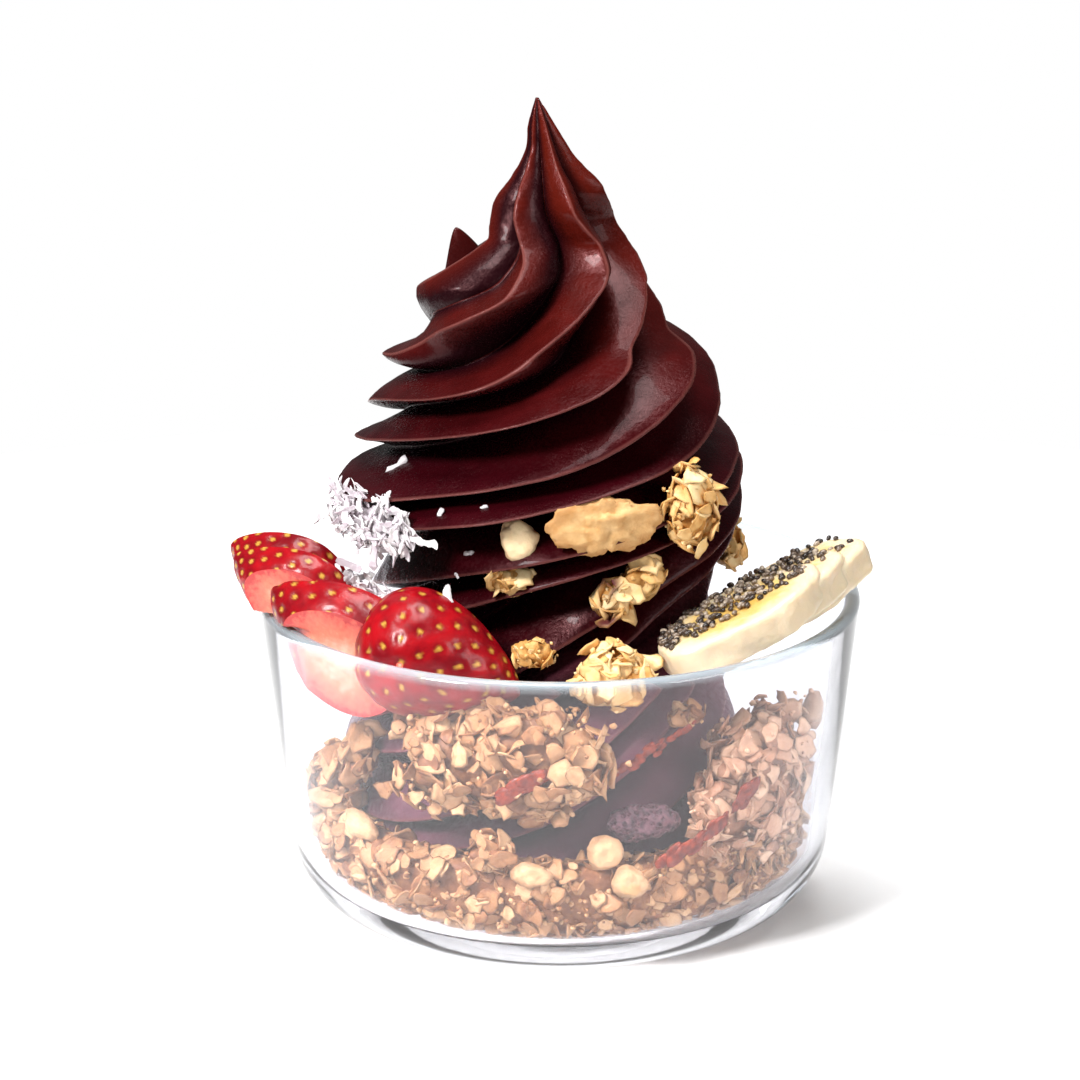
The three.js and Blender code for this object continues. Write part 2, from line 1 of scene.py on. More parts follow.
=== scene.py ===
"""Looks of an acai bowl: a swirl of frozen acai on granola in a glass dish, with fruit, nuts and coconut.

Sizes are in millimetres while a piece is being shaped, and in metres once it is a Blender object. The front
of the bowl faces -Y, and azimuths are in degrees, counter-clockwise from +X.
"""

import logging
import math
from collections.abc import Callable, Iterable, Sequence
from dataclasses import dataclass, field
from enum import Enum

import bpy
import numpy as np
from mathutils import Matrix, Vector


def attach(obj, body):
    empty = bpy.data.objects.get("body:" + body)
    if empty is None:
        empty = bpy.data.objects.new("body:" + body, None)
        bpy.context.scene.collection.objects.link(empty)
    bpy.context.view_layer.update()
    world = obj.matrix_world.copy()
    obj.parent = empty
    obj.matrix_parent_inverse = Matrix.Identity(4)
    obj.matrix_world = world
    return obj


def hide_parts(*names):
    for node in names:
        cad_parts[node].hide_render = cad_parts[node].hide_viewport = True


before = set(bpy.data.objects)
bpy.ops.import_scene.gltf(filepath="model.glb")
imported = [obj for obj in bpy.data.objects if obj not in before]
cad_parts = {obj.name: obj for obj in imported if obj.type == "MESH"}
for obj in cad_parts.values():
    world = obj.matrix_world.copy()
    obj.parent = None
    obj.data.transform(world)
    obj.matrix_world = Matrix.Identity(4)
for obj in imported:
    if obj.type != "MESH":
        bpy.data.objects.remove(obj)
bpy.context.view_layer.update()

log = logging.getLogger("acai_bowl")

MM = 0.001
GOLDEN_TURN = math.pi * (3 - math.sqrt(5))

Triple = tuple[float, float, float]
Rows = tuple[tuple[float, float], ...]
Material = bpy.types.Material
Socket = bpy.types.NodeSocket


# ---- shaping tools


@dataclass
class Form:
    """A mesh while it is being shaped.

    Attributes:
        points: Vertex positions in millimetres, one row each.
        faces: Corner numbers of each face.
        values: Named numbers held by the vertices, for the finishes to read.
        finish: Which of the piece's materials each face takes.
    """

    points: np.ndarray
    faces: list[tuple[int, ...]]
    values: dict[str, np.ndarray] = field(default_factory=dict)
    finish: list[int] | None = None

    def tagged(self, **values: float | np.ndarray) -> "Form":
        """Adds named vertex values.

        Args:
            values: Each value by its name, as one number or an array.

        Returns:
            The form itself.
        """
        for name, value in values.items():
            self.values[name] = np.broadcast_to(np.asarray(value, float), (len(self.points),)).copy()
        return self

    def with_finish(self, number: int) -> "Form":
        """Gives every face the material of that number and returns the form."""
        self.finish = [number] * len(self.faces)
        return self


def joined(forms: Iterable[Form]) -> Form:
    """Joins forms into one.

    Args:
        forms: The forms, which may hold different vertex values.

    Returns:
        One form; a value that a part lacks is 0 there.
    """
    parts = [form for form in forms if len(form.points)]
    faces, finish, start = [], [], 0
    for part in parts:
        faces.extend(tuple(i + start for i in face) for face in part.faces)
        finish.extend(part.finish or [0] * len(part.faces))
        start += len(part.points)
    values = {}
    for name in sorted({name for part in parts for name in part.values}):
        values[name] = np.concatenate([part.values.get(name, np.zeros(len(part.points))) for part in parts])
    return Form(np.concatenate([part.points for part in parts]), faces, values, finish)


def curve_through(rows: Rows) -> Callable[[np.ndarray], np.ndarray]:
    """A smooth curve through (height, value) rows that never overshoots them.

    Args:
        rows: The rows, in any order.

    Returns:
        A function from heights to values.
    """
    x, y = np.array(sorted(rows), float).T
    slope = np.diff(y) / np.diff(x)
    tangent = np.concatenate([[slope[0]], np.zeros(len(x) - 2), [slope[-1]]])
    same_way = slope[:-1] * slope[1:] > 0
    harmonic = 2 * slope[:-1] * slope[1:] / np.where(same_way, slope[:-1] + slope[1:], 1)
    tangent[1:-1] = np.where(same_way, harmonic, 0)

    def at(heights: np.ndarray) -> np.ndarray:
        """Reads the curve.

        Args:
            heights: Where to read it.

        Returns:
            The values there.
        """
        v = np.clip(heights, x[0], x[-1])
        i = np.clip(np.searchsorted(x, v, side="left") - 1, 0, len(x) - 2)
        width = x[i + 1] - x[i]
        t = (v - x[i]) / width
        first = y[i] * (1 + 2 * t) + tangent[i] * width * t
        second = y[i + 1] * (3 - 2 * t) - tangent[i + 1] * width * (1 - t)
        return first * (1 - t) ** 2 + second * t**2

    return at


class Noise:
    """Smooth noise in space, the same at every run."""

    def __init__(self, seed: int) -> None:
        """Draws the noise's table of numbers from the seed."""
        self.table = np.random.default_rng(seed).random(4096) * 2 - 1

    def at(self, points: np.ndarray, size: float) -> np.ndarray:
        """Noise from -1 to 1.

        Args:
            points: Where to read it, in millimetres.
            size: The width of its bumps.

        Returns:
            One number for each point.
        """
        cell = np.floor(points / size).astype(np.int64)
        t = smooth_step(points / size - cell)
        total = np.zeros(len(points))
        for corner in np.ndindex(2, 2, 2):
            x, y, z = (cell + np.array(corner)).T
            mixed = x * 73856093 ^ y * 19349663 ^ z * 83492791
            total += np.prod(np.where(corner, t, 1 - t), axis=1) * self.table[mixed & 4095]
        return total

    def rough(self, points: np.ndarray, size: float, layers: int = 3) -> np.ndarray:
        """Noise with finer and finer bumps on top."""
        return sum(self.at(points, size / 2**n) / 2**n for n in range(layers))


def smooth_step(share: np.ndarray) -> np.ndarray:
    """Eases a share from 0 to 1 at both ends."""
    t = np.clip(share, 0, 1)
    return t * t * (3 - 2 * t)


def unit(vectors: np.ndarray) -> np.ndarray:
    """Vectors scaled to length 1, along the last axis."""
    return vectors / np.maximum(np.linalg.norm(vectors, axis=-1, keepdims=True), 1e-12)


def axes_from(along: np.ndarray, up: np.ndarray) -> np.ndarray:
    """Axes with Z on one direction and X as near as it can be to another.

    Args:
        along: The direction for X, or one for each set of axes.
        up: The direction for Z, or one for each set.

    Returns:
        The axes as rows, one set for each pair of directions.
    """
    z = unit(np.asarray(up, float))
    x = np.asarray(along, float)
    x = unit(x - (x * z).sum(-1, keepdims=True) * z)
    return np.stack([x, np.cross(z, x), z], axis=-2)


def circle(count: int) -> np.ndarray:
    """The angles of points spread evenly round a circle."""
    return np.arange(count) / count * 2 * math.pi


def ring_faces(rings: int, count: int) -> list[tuple[int, ...]]:
    """Four-cornered faces between closed rings of equal length.

    Args:
        rings: How many rings follow each other.
        count: The points of each ring.

    Returns:
        The faces, wound so that rings going down with points going counter-clockwise face out.
    """
    row, column = np.meshgrid(np.arange(rings - 1), np.arange(count), indexing="ij")
    a = (row * count + column).ravel()
    b = (row * count + (column + 1) % count).ravel()
    return [tuple(f) for f in np.stack([a, a + count, b + count, b], 1).tolist()]


def capped_rings(rings: np.ndarray, values: dict[str, np.ndarray] | None = None) -> Form:
    """A closed form over rings, with a fan over the first and the last.

    Args:
        rings: Positions, as rings by points by 3.
        values: Vertex values of the same rings and points.

    Returns:
        The form.
    """
    count, per = rings.shape[:2]
    points = np.concatenate([rings.reshape(-1, 3), rings[:1].mean(1), rings[-1:].mean(1)])
    faces = ring_faces(count, per)
    top, last = count * per, (count - 1) * per
    faces += [(top, i, (i + 1) % per) for i in range(per)]
    faces += [(top + 1, last + (i + 1) % per, last + i) for i in range(per)]
    merged = {}
    for name, array in (values or {}).items():
        merged[name] = np.concatenate([array.ravel(), [array[0].mean(), array[-1].mean()]])
    return Form(points, faces, merged)


def lathed(outline: np.ndarray, angle: np.ndarray) -> Form:
    """A closed form turned round the vertical.

    Args:
        outline: Its outline, as rows of radius and height.
        angle: The angles of each ring's points.

    Returns:
        The form.
    """
    radius, height = outline.T
    x, y = np.outer(radius, np.cos(angle)), np.outer(radius, np.sin(angle))
    return capped_rings(np.stack([x, y, np.outer(height, np.ones(len(angle)))], axis=-1))


def rough_ball(around: int, down: int, roughness: float, noise: Noise, shift: float = 0.0) -> Form:
    """A ball of radius 1 with dents and bumps.

    Args:
        around: Points of each ring.
        down: Rings between the poles.
        roughness: The height of the bumps, as a share of the radius.
        noise: Where the bumps come from.
        shift: Moves the noise, so that balls differ.

    Returns:
        The form.
    """
    polar = (np.arange(down) + 0.5) / down * math.pi
    ball = lathed(np.stack([np.sin(polar), np.cos(polar)], 1), circle(around))
    ball.points = unit(ball.points)
    ball.points *= (1 + roughness * noise.rough(ball.points + shift, 0.7))[:, None]
    return ball


def copies(
    prototypes: Sequence[Form],
    spots: np.ndarray,
    axes: np.ndarray,
    sizes: np.ndarray,
    rng: np.random.Generator,
) -> Form:
    """Joins many turned and scaled copies of a few prototypes.

    Args:
        prototypes: What is copied, each about 1 in radius.
        spots: The place of each copy.
        axes: The axes of each copy, as rows.
        sizes: The size of each copy along its own axes.
        rng: Draws the prototype and the tone of each copy.

    Returns:
        One form whose value `tone` differs from copy to copy.
    """
    chosen = rng.integers(len(prototypes), size=len(spots))
    parts = []
    for number, prototype in enumerate(prototypes):
        here = np.flatnonzero(chosen == number)
        if not len(here):
            continue
        scaled = prototype.points[None] * sizes[here][:, None, :]
        placed = np.einsum("nij,njk->nik", scaled, axes[here]) + spots[here][:, None, :]
        per = len(prototype.points)
        starts = (np.arange(len(here)) * per)[:, None]
        faces = []
        for corners in {len(face) for face in prototype.faces}:
            same = np.array([face for face in prototype.faces if len(face) == corners])
            faces += [tuple(f) for f in (same[None] + starts[:, :, None]).reshape(-1, corners).tolist()]
        values = {name: np.tile(array, len(here)) for name, array in prototype.values.items()}
        values["tone"] = np.repeat(rng.random(len(here)), per)
        parts.append(Form(placed.reshape(-1, 3), faces, values))
    return joined(parts)


def make_piece(
    name: str,
    form: Form,
    materials: Sequence[Material],
    nodes: Sequence[str] = (),
    smooth: bool = True,
) -> bpy.types.Object:
    """Turns a form into a Blender object on the part's one body.

    Args:
        name: The object's name.
        form: Its shape, in millimetres.
        materials: Its materials, in the order of the form's finish numbers.
        nodes: The CAD nodes that it stands for.
        smooth: Whether its faces are shaded smoothly.

    Returns:
        The object, riding on the body.
    """
    mesh = bpy.data.meshes.new(name)
    mesh.from_pydata((form.points * MM).tolist(), [], form.faces)
    for key, array in form.values.items():
        attribute = mesh.attributes.new(key, "FLOAT", "POINT")
        attribute.data.foreach_set("value", array.astype(np.float32))
    for material in materials:
        mesh.materials.append(material)
    if form.finish is not None:
        mesh.polygons.foreach_set("material_index", form.finish)
    mesh.polygons.foreach_set("use_smooth", [smooth] * len(mesh.polygons))
    mesh.update()
    made = bpy.data.objects.new(name, mesh)
    bpy.context.scene.collection.objects.link(made)
    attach(made, "root")
    if nodes:
        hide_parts(*nodes)
    log.info("%s: %d vertices, %d faces", name, len(form.points), len(form.faces))
    return made


# ---- finishes


class Nodes:
    """A tree of shader nodes while it is being put together."""

    def __init__(self, tree: bpy.types.NodeTree) -> None:
        """Takes the tree that the nodes go into."""
        self.tree = tree

    def feed(self, socket: Socket, value: object) -> None:
        """Links a socket to another one, or sets it.

        Args:
            socket: The input to feed.
            value: An output, a plain number or a colour; with none the input stays as it is.
        """
        if isinstance(value, Socket):
            self.tree.links.new(value, socket)
        elif value is not None:
            socket.default_value = (*value, 1) if socket.type == "RGBA" else value

    def node(self, kind: str, output: str, **inputs: object) -> Socket:
        """Adds one node.

        Args:
            kind: The node's type, without the start that all types share.
            output: The output that is wanted.
            inputs: What feeds its inputs, with spaces written as underscores.

        Returns:
            The output.
        """
        node = self.tree.nodes.new("ShaderNode" + kind)
        for name, value in inputs.items():
            self.feed(node.inputs[name.replace("_", " ")], value)
        return node.outputs[output]

    def span(self, source: object, low: float, high: float, to: tuple = (0.0, 1.0)) -> Socket:
        """Maps a number from one range to another and holds it there."""
        ends = {"From_Min": low, "From_Max": high, "To_Min": to[0], "To_Max": to[1]}
        return self.node("MapRange", "Result", Value=source, **ends)

    def math(self, operation: str, first: object, second: object = None) -> Socket:
        """Adds one calculation on numbers.

        Args:
            operation: Its name.
            first: The first number, or its output.
            second: The second one, where there is one.

        Returns:
            The result's output.
        """
        node = self.tree.nodes.new("ShaderNodeMath")
        node.operation = operation
        self.feed(node.inputs[0], first)
        self.feed(node.inputs[1], second)
        return node.outputs[0]


class Recipe(Nodes):
    """A material while it is being put together."""

    def __init__(self, name: str) -> None:
        """Starts a material with one Principled shader.

        Args:
            name: The material's name.
        """
        self.material = bpy.data.materials.new(name)
        self.material.use_nodes = True
        super().__init__(self.material.node_tree)
        self.shader = self.tree.nodes["Principled BSDF"]
        self.place = self.node("TexCoord", "Object")

    def set(self, **sockets: object) -> Material:
        """Feeds the shader's sockets.

        Args:
            sockets: What feeds them, by name with spaces written as underscores.

        Returns:
            The material.
        """
        for name, value in sockets.items():
            self.feed(self.shader.inputs[name.replace("_", " ")], value)
        return self.material

    def value(self, name: str) -> Socket:
        """Reads a vertex value of the mesh.

        Args:
            name: Its name.

        Returns:
            Its output.
        """
        node = self.tree.nodes.new("ShaderNodeAttribute")
        node.attribute_name = name
        return node.outputs["Fac"]

    def noise(self, size: float, detail: float = 3, roughness: float = 0.55) -> Socket:
        """Noise whose bumps are `size` millimetres wide."""
        look = {"Scale": 1 / (size * MM), "Detail": detail, "Roughness": roughness}
        return self.node("TexNoise", "Fac", Vector=self.place, **look)

    def patches(self, size: float, low: float = 0.35, high: float = 0.65, detail: float = 3) -> Socket:
        """Soft patches about `size` millimetres wide, from 0 outside them to 1 inside."""
        return self.span(self.noise(size, detail), low, high)

    def varied(self, number: Socket, size: float, by: float, detail: float = 3) -> Socket:
        """A number with noise of that size added, by at most `by` up or down."""
        return self.math("ADD", number, self.span(self.noise(size, detail), 0.3, 0.7, (-by, by)))

    def height(self) -> Socket:
        """Height above the table, in metres."""
        return self.node("SeparateXYZ", "Z", Vector=self.place)

    def ramp(self, source: Socket, *stops: tuple[float, Triple]) -> Socket:
        """Turns a number into a colour.

        Args:
            source: The number's output.
            stops: Numbers with their colours, in rising order.

        Returns:
            The colour's output.
        """
        node = self.tree.nodes.new("ShaderNodeValToRGB")
        elements = node.color_ramp.elements
        while len(elements) < len(stops):
            elements.new(0.5)
        for element, (position, colour) in zip(elements, stops):
            element.position = position
            element.color = (*colour, 1)
        self.feed(node.inputs["Fac"], source)
        return node.outputs["Color"]

    def mix(self, share: object, first: object, second: object, blend: str = "MIX") -> Socket:
        """Mixes two colours.

        Args:
            share: How much of the second one there is.
            first: The first colour, or its output.
            second: The second colour, or its output.
            blend: How they mix.

        Returns:
            The mixed colour's output.
        """
        node = self.tree.nodes.new("ShaderNodeMix")
        node.data_type = "RGBA"
        node.blend_type = blend
        for number, value in ((0, share), (6, first), (7, second)):
            self.feed(node.inputs[number], value)
        return node.outputs[2]

    def bump(self, height: Socket, depth: float, strength: float) -> None:
        """Raises the surface, over the bumps that it has already.

        Args:
            height: How high each place is, from 0 to 1.
            depth: The bumps' depth in millimetres where the height is 1.
            strength: How much of the bump shows.
        """
        normal = self.shader.inputs["Normal"]
        below = normal.links[0].from_socket if normal.is_linked else None
        lie = {"Strength": strength, "Distance": depth * MM, "Height": height, "Normal": below}
        self.feed(normal, self.node("Bump", "Normal", **lie))


@dataclass(frozen=True)
class AcaiFinish:
    """Dark frozen acai, browner and lighter at the top and greyer at its foot, with painted shade near black
    in its folds and painted highlights along the edges of its fins.
    """

    # Colour by height, partly the acai's own colour and partly painted light: lighter at the top, where light
    # falls from above, darker in the middle, and a paler purple-grey at the foot as painted haze.
    top: Triple = (0.092, 0.007, 0.003)
    middle: Triple = (0.032, 0.0014, 0.0034)
    foot: Triple = (0.112, 0.036, 0.054)
    # Painted shade: the near-black colour that the folds take.
    fold: Triple = (0.007, 0.0015, 0.003)
    # Painted highlight: the light colour laid along the edges of the fins.
    edge: Triple = (0.21, 0.070, 0.060)
    gloss: Triple = (1.0, 0.45, 0.46)

    def material(self) -> Material:
        """Puts the finish together.

        Returns:
            The material.
        """
        recipe = Recipe("acai")
        # Colour by height, with painted light at the top and painted haze at the foot.
        stops = (0.05, self.foot), (0.2, self.middle), (0.5, self.middle), (1.0, self.top)
        base = recipe.ramp(recipe.span(recipe.height(), 0.05, 0.19), *stops)
        cloudy = recipe.span(recipe.noise(9), 0.35, 0.7, (0.64, 0.96))
        base = recipe.mix(1.0, base, cloudy, "MULTIPLY")
        depth = recipe.value("hollow")
        # Painted shade: darkens the underside of each fin, and the ledge below it, towards the bottom of the
        # groove.
        for start, end in ((0.02, 0.5), (-0.45, -0.95)):
            base = recipe.mix(recipe.span(depth, start, end, (0, 0.9)), base, self.fold)
        # Painted highlight: lightens the colour along the edges of the fins.
        painted_highlight_share = recipe.span(recipe.math("ABSOLUTE", depth), 0.035, 0.0, (0, 0.5))
        base = recipe.mix(painted_highlight_share, base, self.edge)
        grain = recipe.noise(1.0, 5, 0.65)
        frosted = recipe.span(recipe.noise(16, 2), 0.42, 0.6, (0.25, 1.0))
        recipe.bump(recipe.noise(5), 0.5, 0.35)
        recipe.bump(recipe.math("MULTIPLY", grain, frosted), 0.45, 0.7)
        recipe.set(Roughness=recipe.span(grain, 0.3, 0.7, (0.16, 0.38)), Specular_Tint=self.gloss)
        return recipe.set(Base_Color=base, Specular_IOR_Level=0.17, Coat_Weight=0.06, Coat_Roughness=0.07)


@dataclass(frozen=True)
class GlassFinish:
    """Clear glass with a faint cool haze, milkier at the rim, with edges that stay bright."""

    tint: Triple = (0.955, 0.948, 0.990)
    deep: Triple = (0.925, 0.918, 0.975)
    edge: Triple = (0.84, 0.89, 0.96)
    rim: Triple = (0.70, 0.81, 0.87)
    ior: float = 1.12
    clear: float = 0.986
    rim_clear: float = 0.7
    rim_height: float = 0.0795

    def material(self) -> Material:
        """Puts the finish together.

        Returns:
            The material.
        """
        recipe = Recipe("clear_glass")
        at_rim = recipe.span(recipe.height(), self.rim_height - 0.0012, self.rim_height + 0.0008)
        turned_away = recipe.span(recipe.node("LayerWeight", "Facing", Blend=0.5), 0.55, 0.95)
        base = recipe.mix(recipe.patches(30, 0.3, 0.8, 2), self.tint, self.deep)
        base = recipe.mix(turned_away, base, self.edge)
        recipe.bump(recipe.noise(14, 2), 0.05, 0.25)
        recipe.set(Transmission_Weight=recipe.span(at_rim, 0, 1, (self.clear, self.rim_clear)))
        recipe.set(Roughness=0.0, IOR=self.ior, Coat_Weight=0.6, Coat_Roughness=0.0)
        return recipe.set(Base_Color=recipe.mix(at_rim, base, self.rim))


@dataclass(frozen=True)
class OatFinish:
    """Toasted rolled oats or nuts, each a little different, with browner edges."""

    name: str
    cream: Triple
    pale: Triple
    tan: Triple
    # The darkest colour: toasting on the edges and on some oats, and painted shade on the cores of the
    # clusters and the bed.
    toast_and_shade: Triple
    stain: Triple = (0.10, 0.016, 0.014)

    def material(self) -> Material:
        """Puts the finish together.

        Returns:
            The material.
        """
        recipe = Recipe(self.name)
        tone = recipe.varied(recipe.value("tone"), 2.5, 0.22)
        base = recipe.ramp(tone, (0.0, self.toast_and_shade), (0.22, self.tan), (0.7, self.pale), (1.0, self.cream))
        base = recipe.mix(recipe.span(recipe.value("rim"), 0.7, 1.0, (0.0, 0.5)), base, self.toast_and_shade)
        base = recipe.mix(recipe.value("stain"), base, self.stain)
        recipe.bump(recipe.noise(1.1, 4, 0.7), 0.35, 0.7)
        recipe.set(Subsurface_Weight=0.08, Subsurface_Radius=(0.004, 0.002, 0.001), Subsurface_Scale=0.5)
        return recipe.set(Base_Color=base, Roughness=0.55, Specular_IOR_Level=0.35)


@dataclass(frozen=True)
class BerrySkinFinish:
    """Wet red strawberry skin, darker between the seeds and in their pits."""

    red: Triple = (0.34, 0.003, 0.007)
    deep: Triple = (0.16, 0.002, 0.006)
    pit: Triple = (0.12, 0.002, 0.004)
    seed: Triple = (0.50, 0.27, 0.045)

    def material(self) -> Material:
        """Puts the finish together.

        Returns:
            The material.
        """
        recipe = Recipe("strawberry_skin")
        base = recipe.mix(recipe.patches(7), self.deep, self.red)
        base = recipe.mix(recipe.value("pit"), base, self.pit)
        base = recipe.mix(recipe.value("seed"), base, self.seed)
        recipe.bump(recipe.noise(1.2), 0.2, 0.4)
        recipe.set(Subsurface_Weight=0.12, Subsurface_Radius=(0.004, 0.0008, 0.0005), Subsurface_Scale=0.6)
        recipe.set(Specular_IOR_Level=0.22, Coat_Weight=0.08, Coat_Roughness=0.1)
        return recipe.set(Base_Color=base, Roughness=0.3)


@dataclass(frozen=True)
class BerryFleshFinish:
    """Cut strawberry: pale in the middle, orange-pink with streaks, red under the skin."""

    heart: Triple = (0.84, 0.47, 0.34)
    flesh: Triple = (0.79, 0.20, 0.11)
    outer: Triple = (0.70, 0.10, 0.06)
    border: Triple = (0.50, 0.02, 0.018)

    def material(self) -> Material:
        """Puts the finish together.

        Returns:
            The material.
        """
        recipe = Recipe("strawberry_flesh")
        ring = recipe.varied(recipe.varied(recipe.value("ring"), 1.6, 0.1), 6, 0.12, 2)
        stops = (0.1, self.heart), (0.5, self.flesh), (0.84, self.outer), (0.97, self.border)
        recipe.bump(recipe.noise(1.4), 0.3, 0.5)
        recipe.set(Subsurface_Weight=0.25, Subsurface_Radius=(0.006, 0.002, 0.0012), Subsurface_Scale=0.7)
        recipe.set(Specular_IOR_Level=0.5, Coat_Weight=0.25, Coat_Roughness=0.12)
        return recipe.set(Base_Color=recipe.ramp(ring, *stops), Roughness=0.28)


@dataclass(frozen=True)
class BananaFinish:
    """Ripe banana: creamy sides, a yellower moist middle on the cut faces."""

    side: Triple = (0.73, 0.59, 0.41)
    face: Triple = (0.66, 0.45, 0.16)
    heart: Triple = (0.56, 0.33, 0.07)
    cloud: Triple = (0.66, 0.51, 0.28)

    def material(self) -> Material:
        """Puts the finish together.

        Returns:
            The material.
        """
        recipe = Recipe("banana")
        ring = recipe.varied(recipe.value("ring"), 3, 0.12)
        base = recipe.ramp(ring, (0.25, self.heart), (0.65, self.face), (0.98, self.side))
        base = recipe.mix(recipe.span(recipe.noise(6), 0.4, 0.75, (0, 0.3)), base, self.cloud)
        recipe.bump(recipe.noise(2.4, 4, 0.6), 0.45, 0.5)
        recipe.set(Subsurface_Weight=0.35, Subsurface_Radius=(0.006, 0.004, 0.002), Subsurface_Scale=0.8)
        recipe.set(Specular_IOR_Level=0.45, Coat_Weight=0.15, Coat_Roughness=0.2)
        return recipe.set(Base_Color=base, Roughness=0.38)


@dataclass(frozen=True)
class ChiaFinish:
    """Glossy chia seeds, pale grey-brown to near black."""

    black: Triple = (0.014, 0.009, 0.008)
    dark: Triple = (0.060, 0.040, 0.030)
    brown: Triple = (0.17, 0.120, 0.085)
    pale: Triple = (0.42, 0.34, 0.26)

    def material(self) -> Material:
        """Puts the finish together.

        Returns:
            The material.
        """
        recipe = Recipe("chia")
        tone = recipe.varied(recipe.value("tone"), 0.5, 0.2)
        base = recipe.ramp(tone, (0.0, self.black), (0.4, self.dark), (0.7, self.brown), (1.0, self.pale))
        return recipe.set(Base_Color=base, Roughness=0.25, Specular_IOR_Level=0.5)


@dataclass(frozen=True)
class CoconutFinish:
    """Dry white coconut, each shred a little different in tone, with a cool grey of painted shade on the
    darker shreds and on the pad.
    """

    # Painted shade: the cool grey of the darker shreds and of the pad under them.
    shade: Triple = (0.50, 0.43, 0.47)
    white: Triple = (0.70, 0.66, 0.68)
    bright: Triple = (0.80, 0.77, 0.76)

    def material(self) -> Material:
        """Puts the finish together.

        Returns:
            The material.
        """
        recipe = Recipe("coconut")
        tone = recipe.varied(recipe.value("tone"), 1.5, 0.3)
        base = recipe.ramp(tone, (0.0, self.shade), (0.5, self.white), (1.0, self.bright))
        recipe.bump(recipe.noise(0.8), 0.15, 0.5)
        recipe.set(Subsurface_Weight=0.2, Subsurface_Radius=(0.002, 0.0018, 0.0018), Subsurface_Scale=0.6)
        return recipe.set(Base_Color=base, Roughness=0.6, Specular_IOR_Level=0.3)


@dataclass(frozen=True)
class SauceFinish:
    """Thin red-brown smears of melted acai."""

    dark: Triple = (0.095, 0.009, 0.004)
    light: Triple = (0.25, 0.034, 0.012)

    def material(self) -> Material:
        """Puts the finish together.

        Returns:
            The material.
        """
        recipe = Recipe("melted_acai")
        recipe.bump(recipe.noise(1.0), 0.2, 0.5)
        base = recipe.mix(recipe.patches(1.5), self.dark, self.light)
        return recipe.set(Base_Color=base, Roughness=0.22, Specular_IOR_Level=0.25)


@dataclass(frozen=True)
class ChipFinish:
    """A porous purple-grey chip of frozen acai."""

    dark: Triple = (0.04, 0.014, 0.020)
    light: Triple = (0.17, 0.070, 0.085)
    pore: float = 1.4

    def material(self) -> Material:
        """Puts the finish together.

        Returns:
            The material.
        """
        recipe = Recipe("frozen_chip")
        pores = recipe.node("TexVoronoi", "Distance", Vector=recipe.place, Scale=1 / (self.pore * MM))
        recipe.bump(recipe.span(pores, 0.1, 0.5), 0.9, 1.0)
        base = recipe.mix(recipe.patches(1.4), self.dark, self.light)
        return recipe.set(Base_Color=base, Roughness=0.5, Specular_IOR_Level=0.4)


# ---- the glass dish


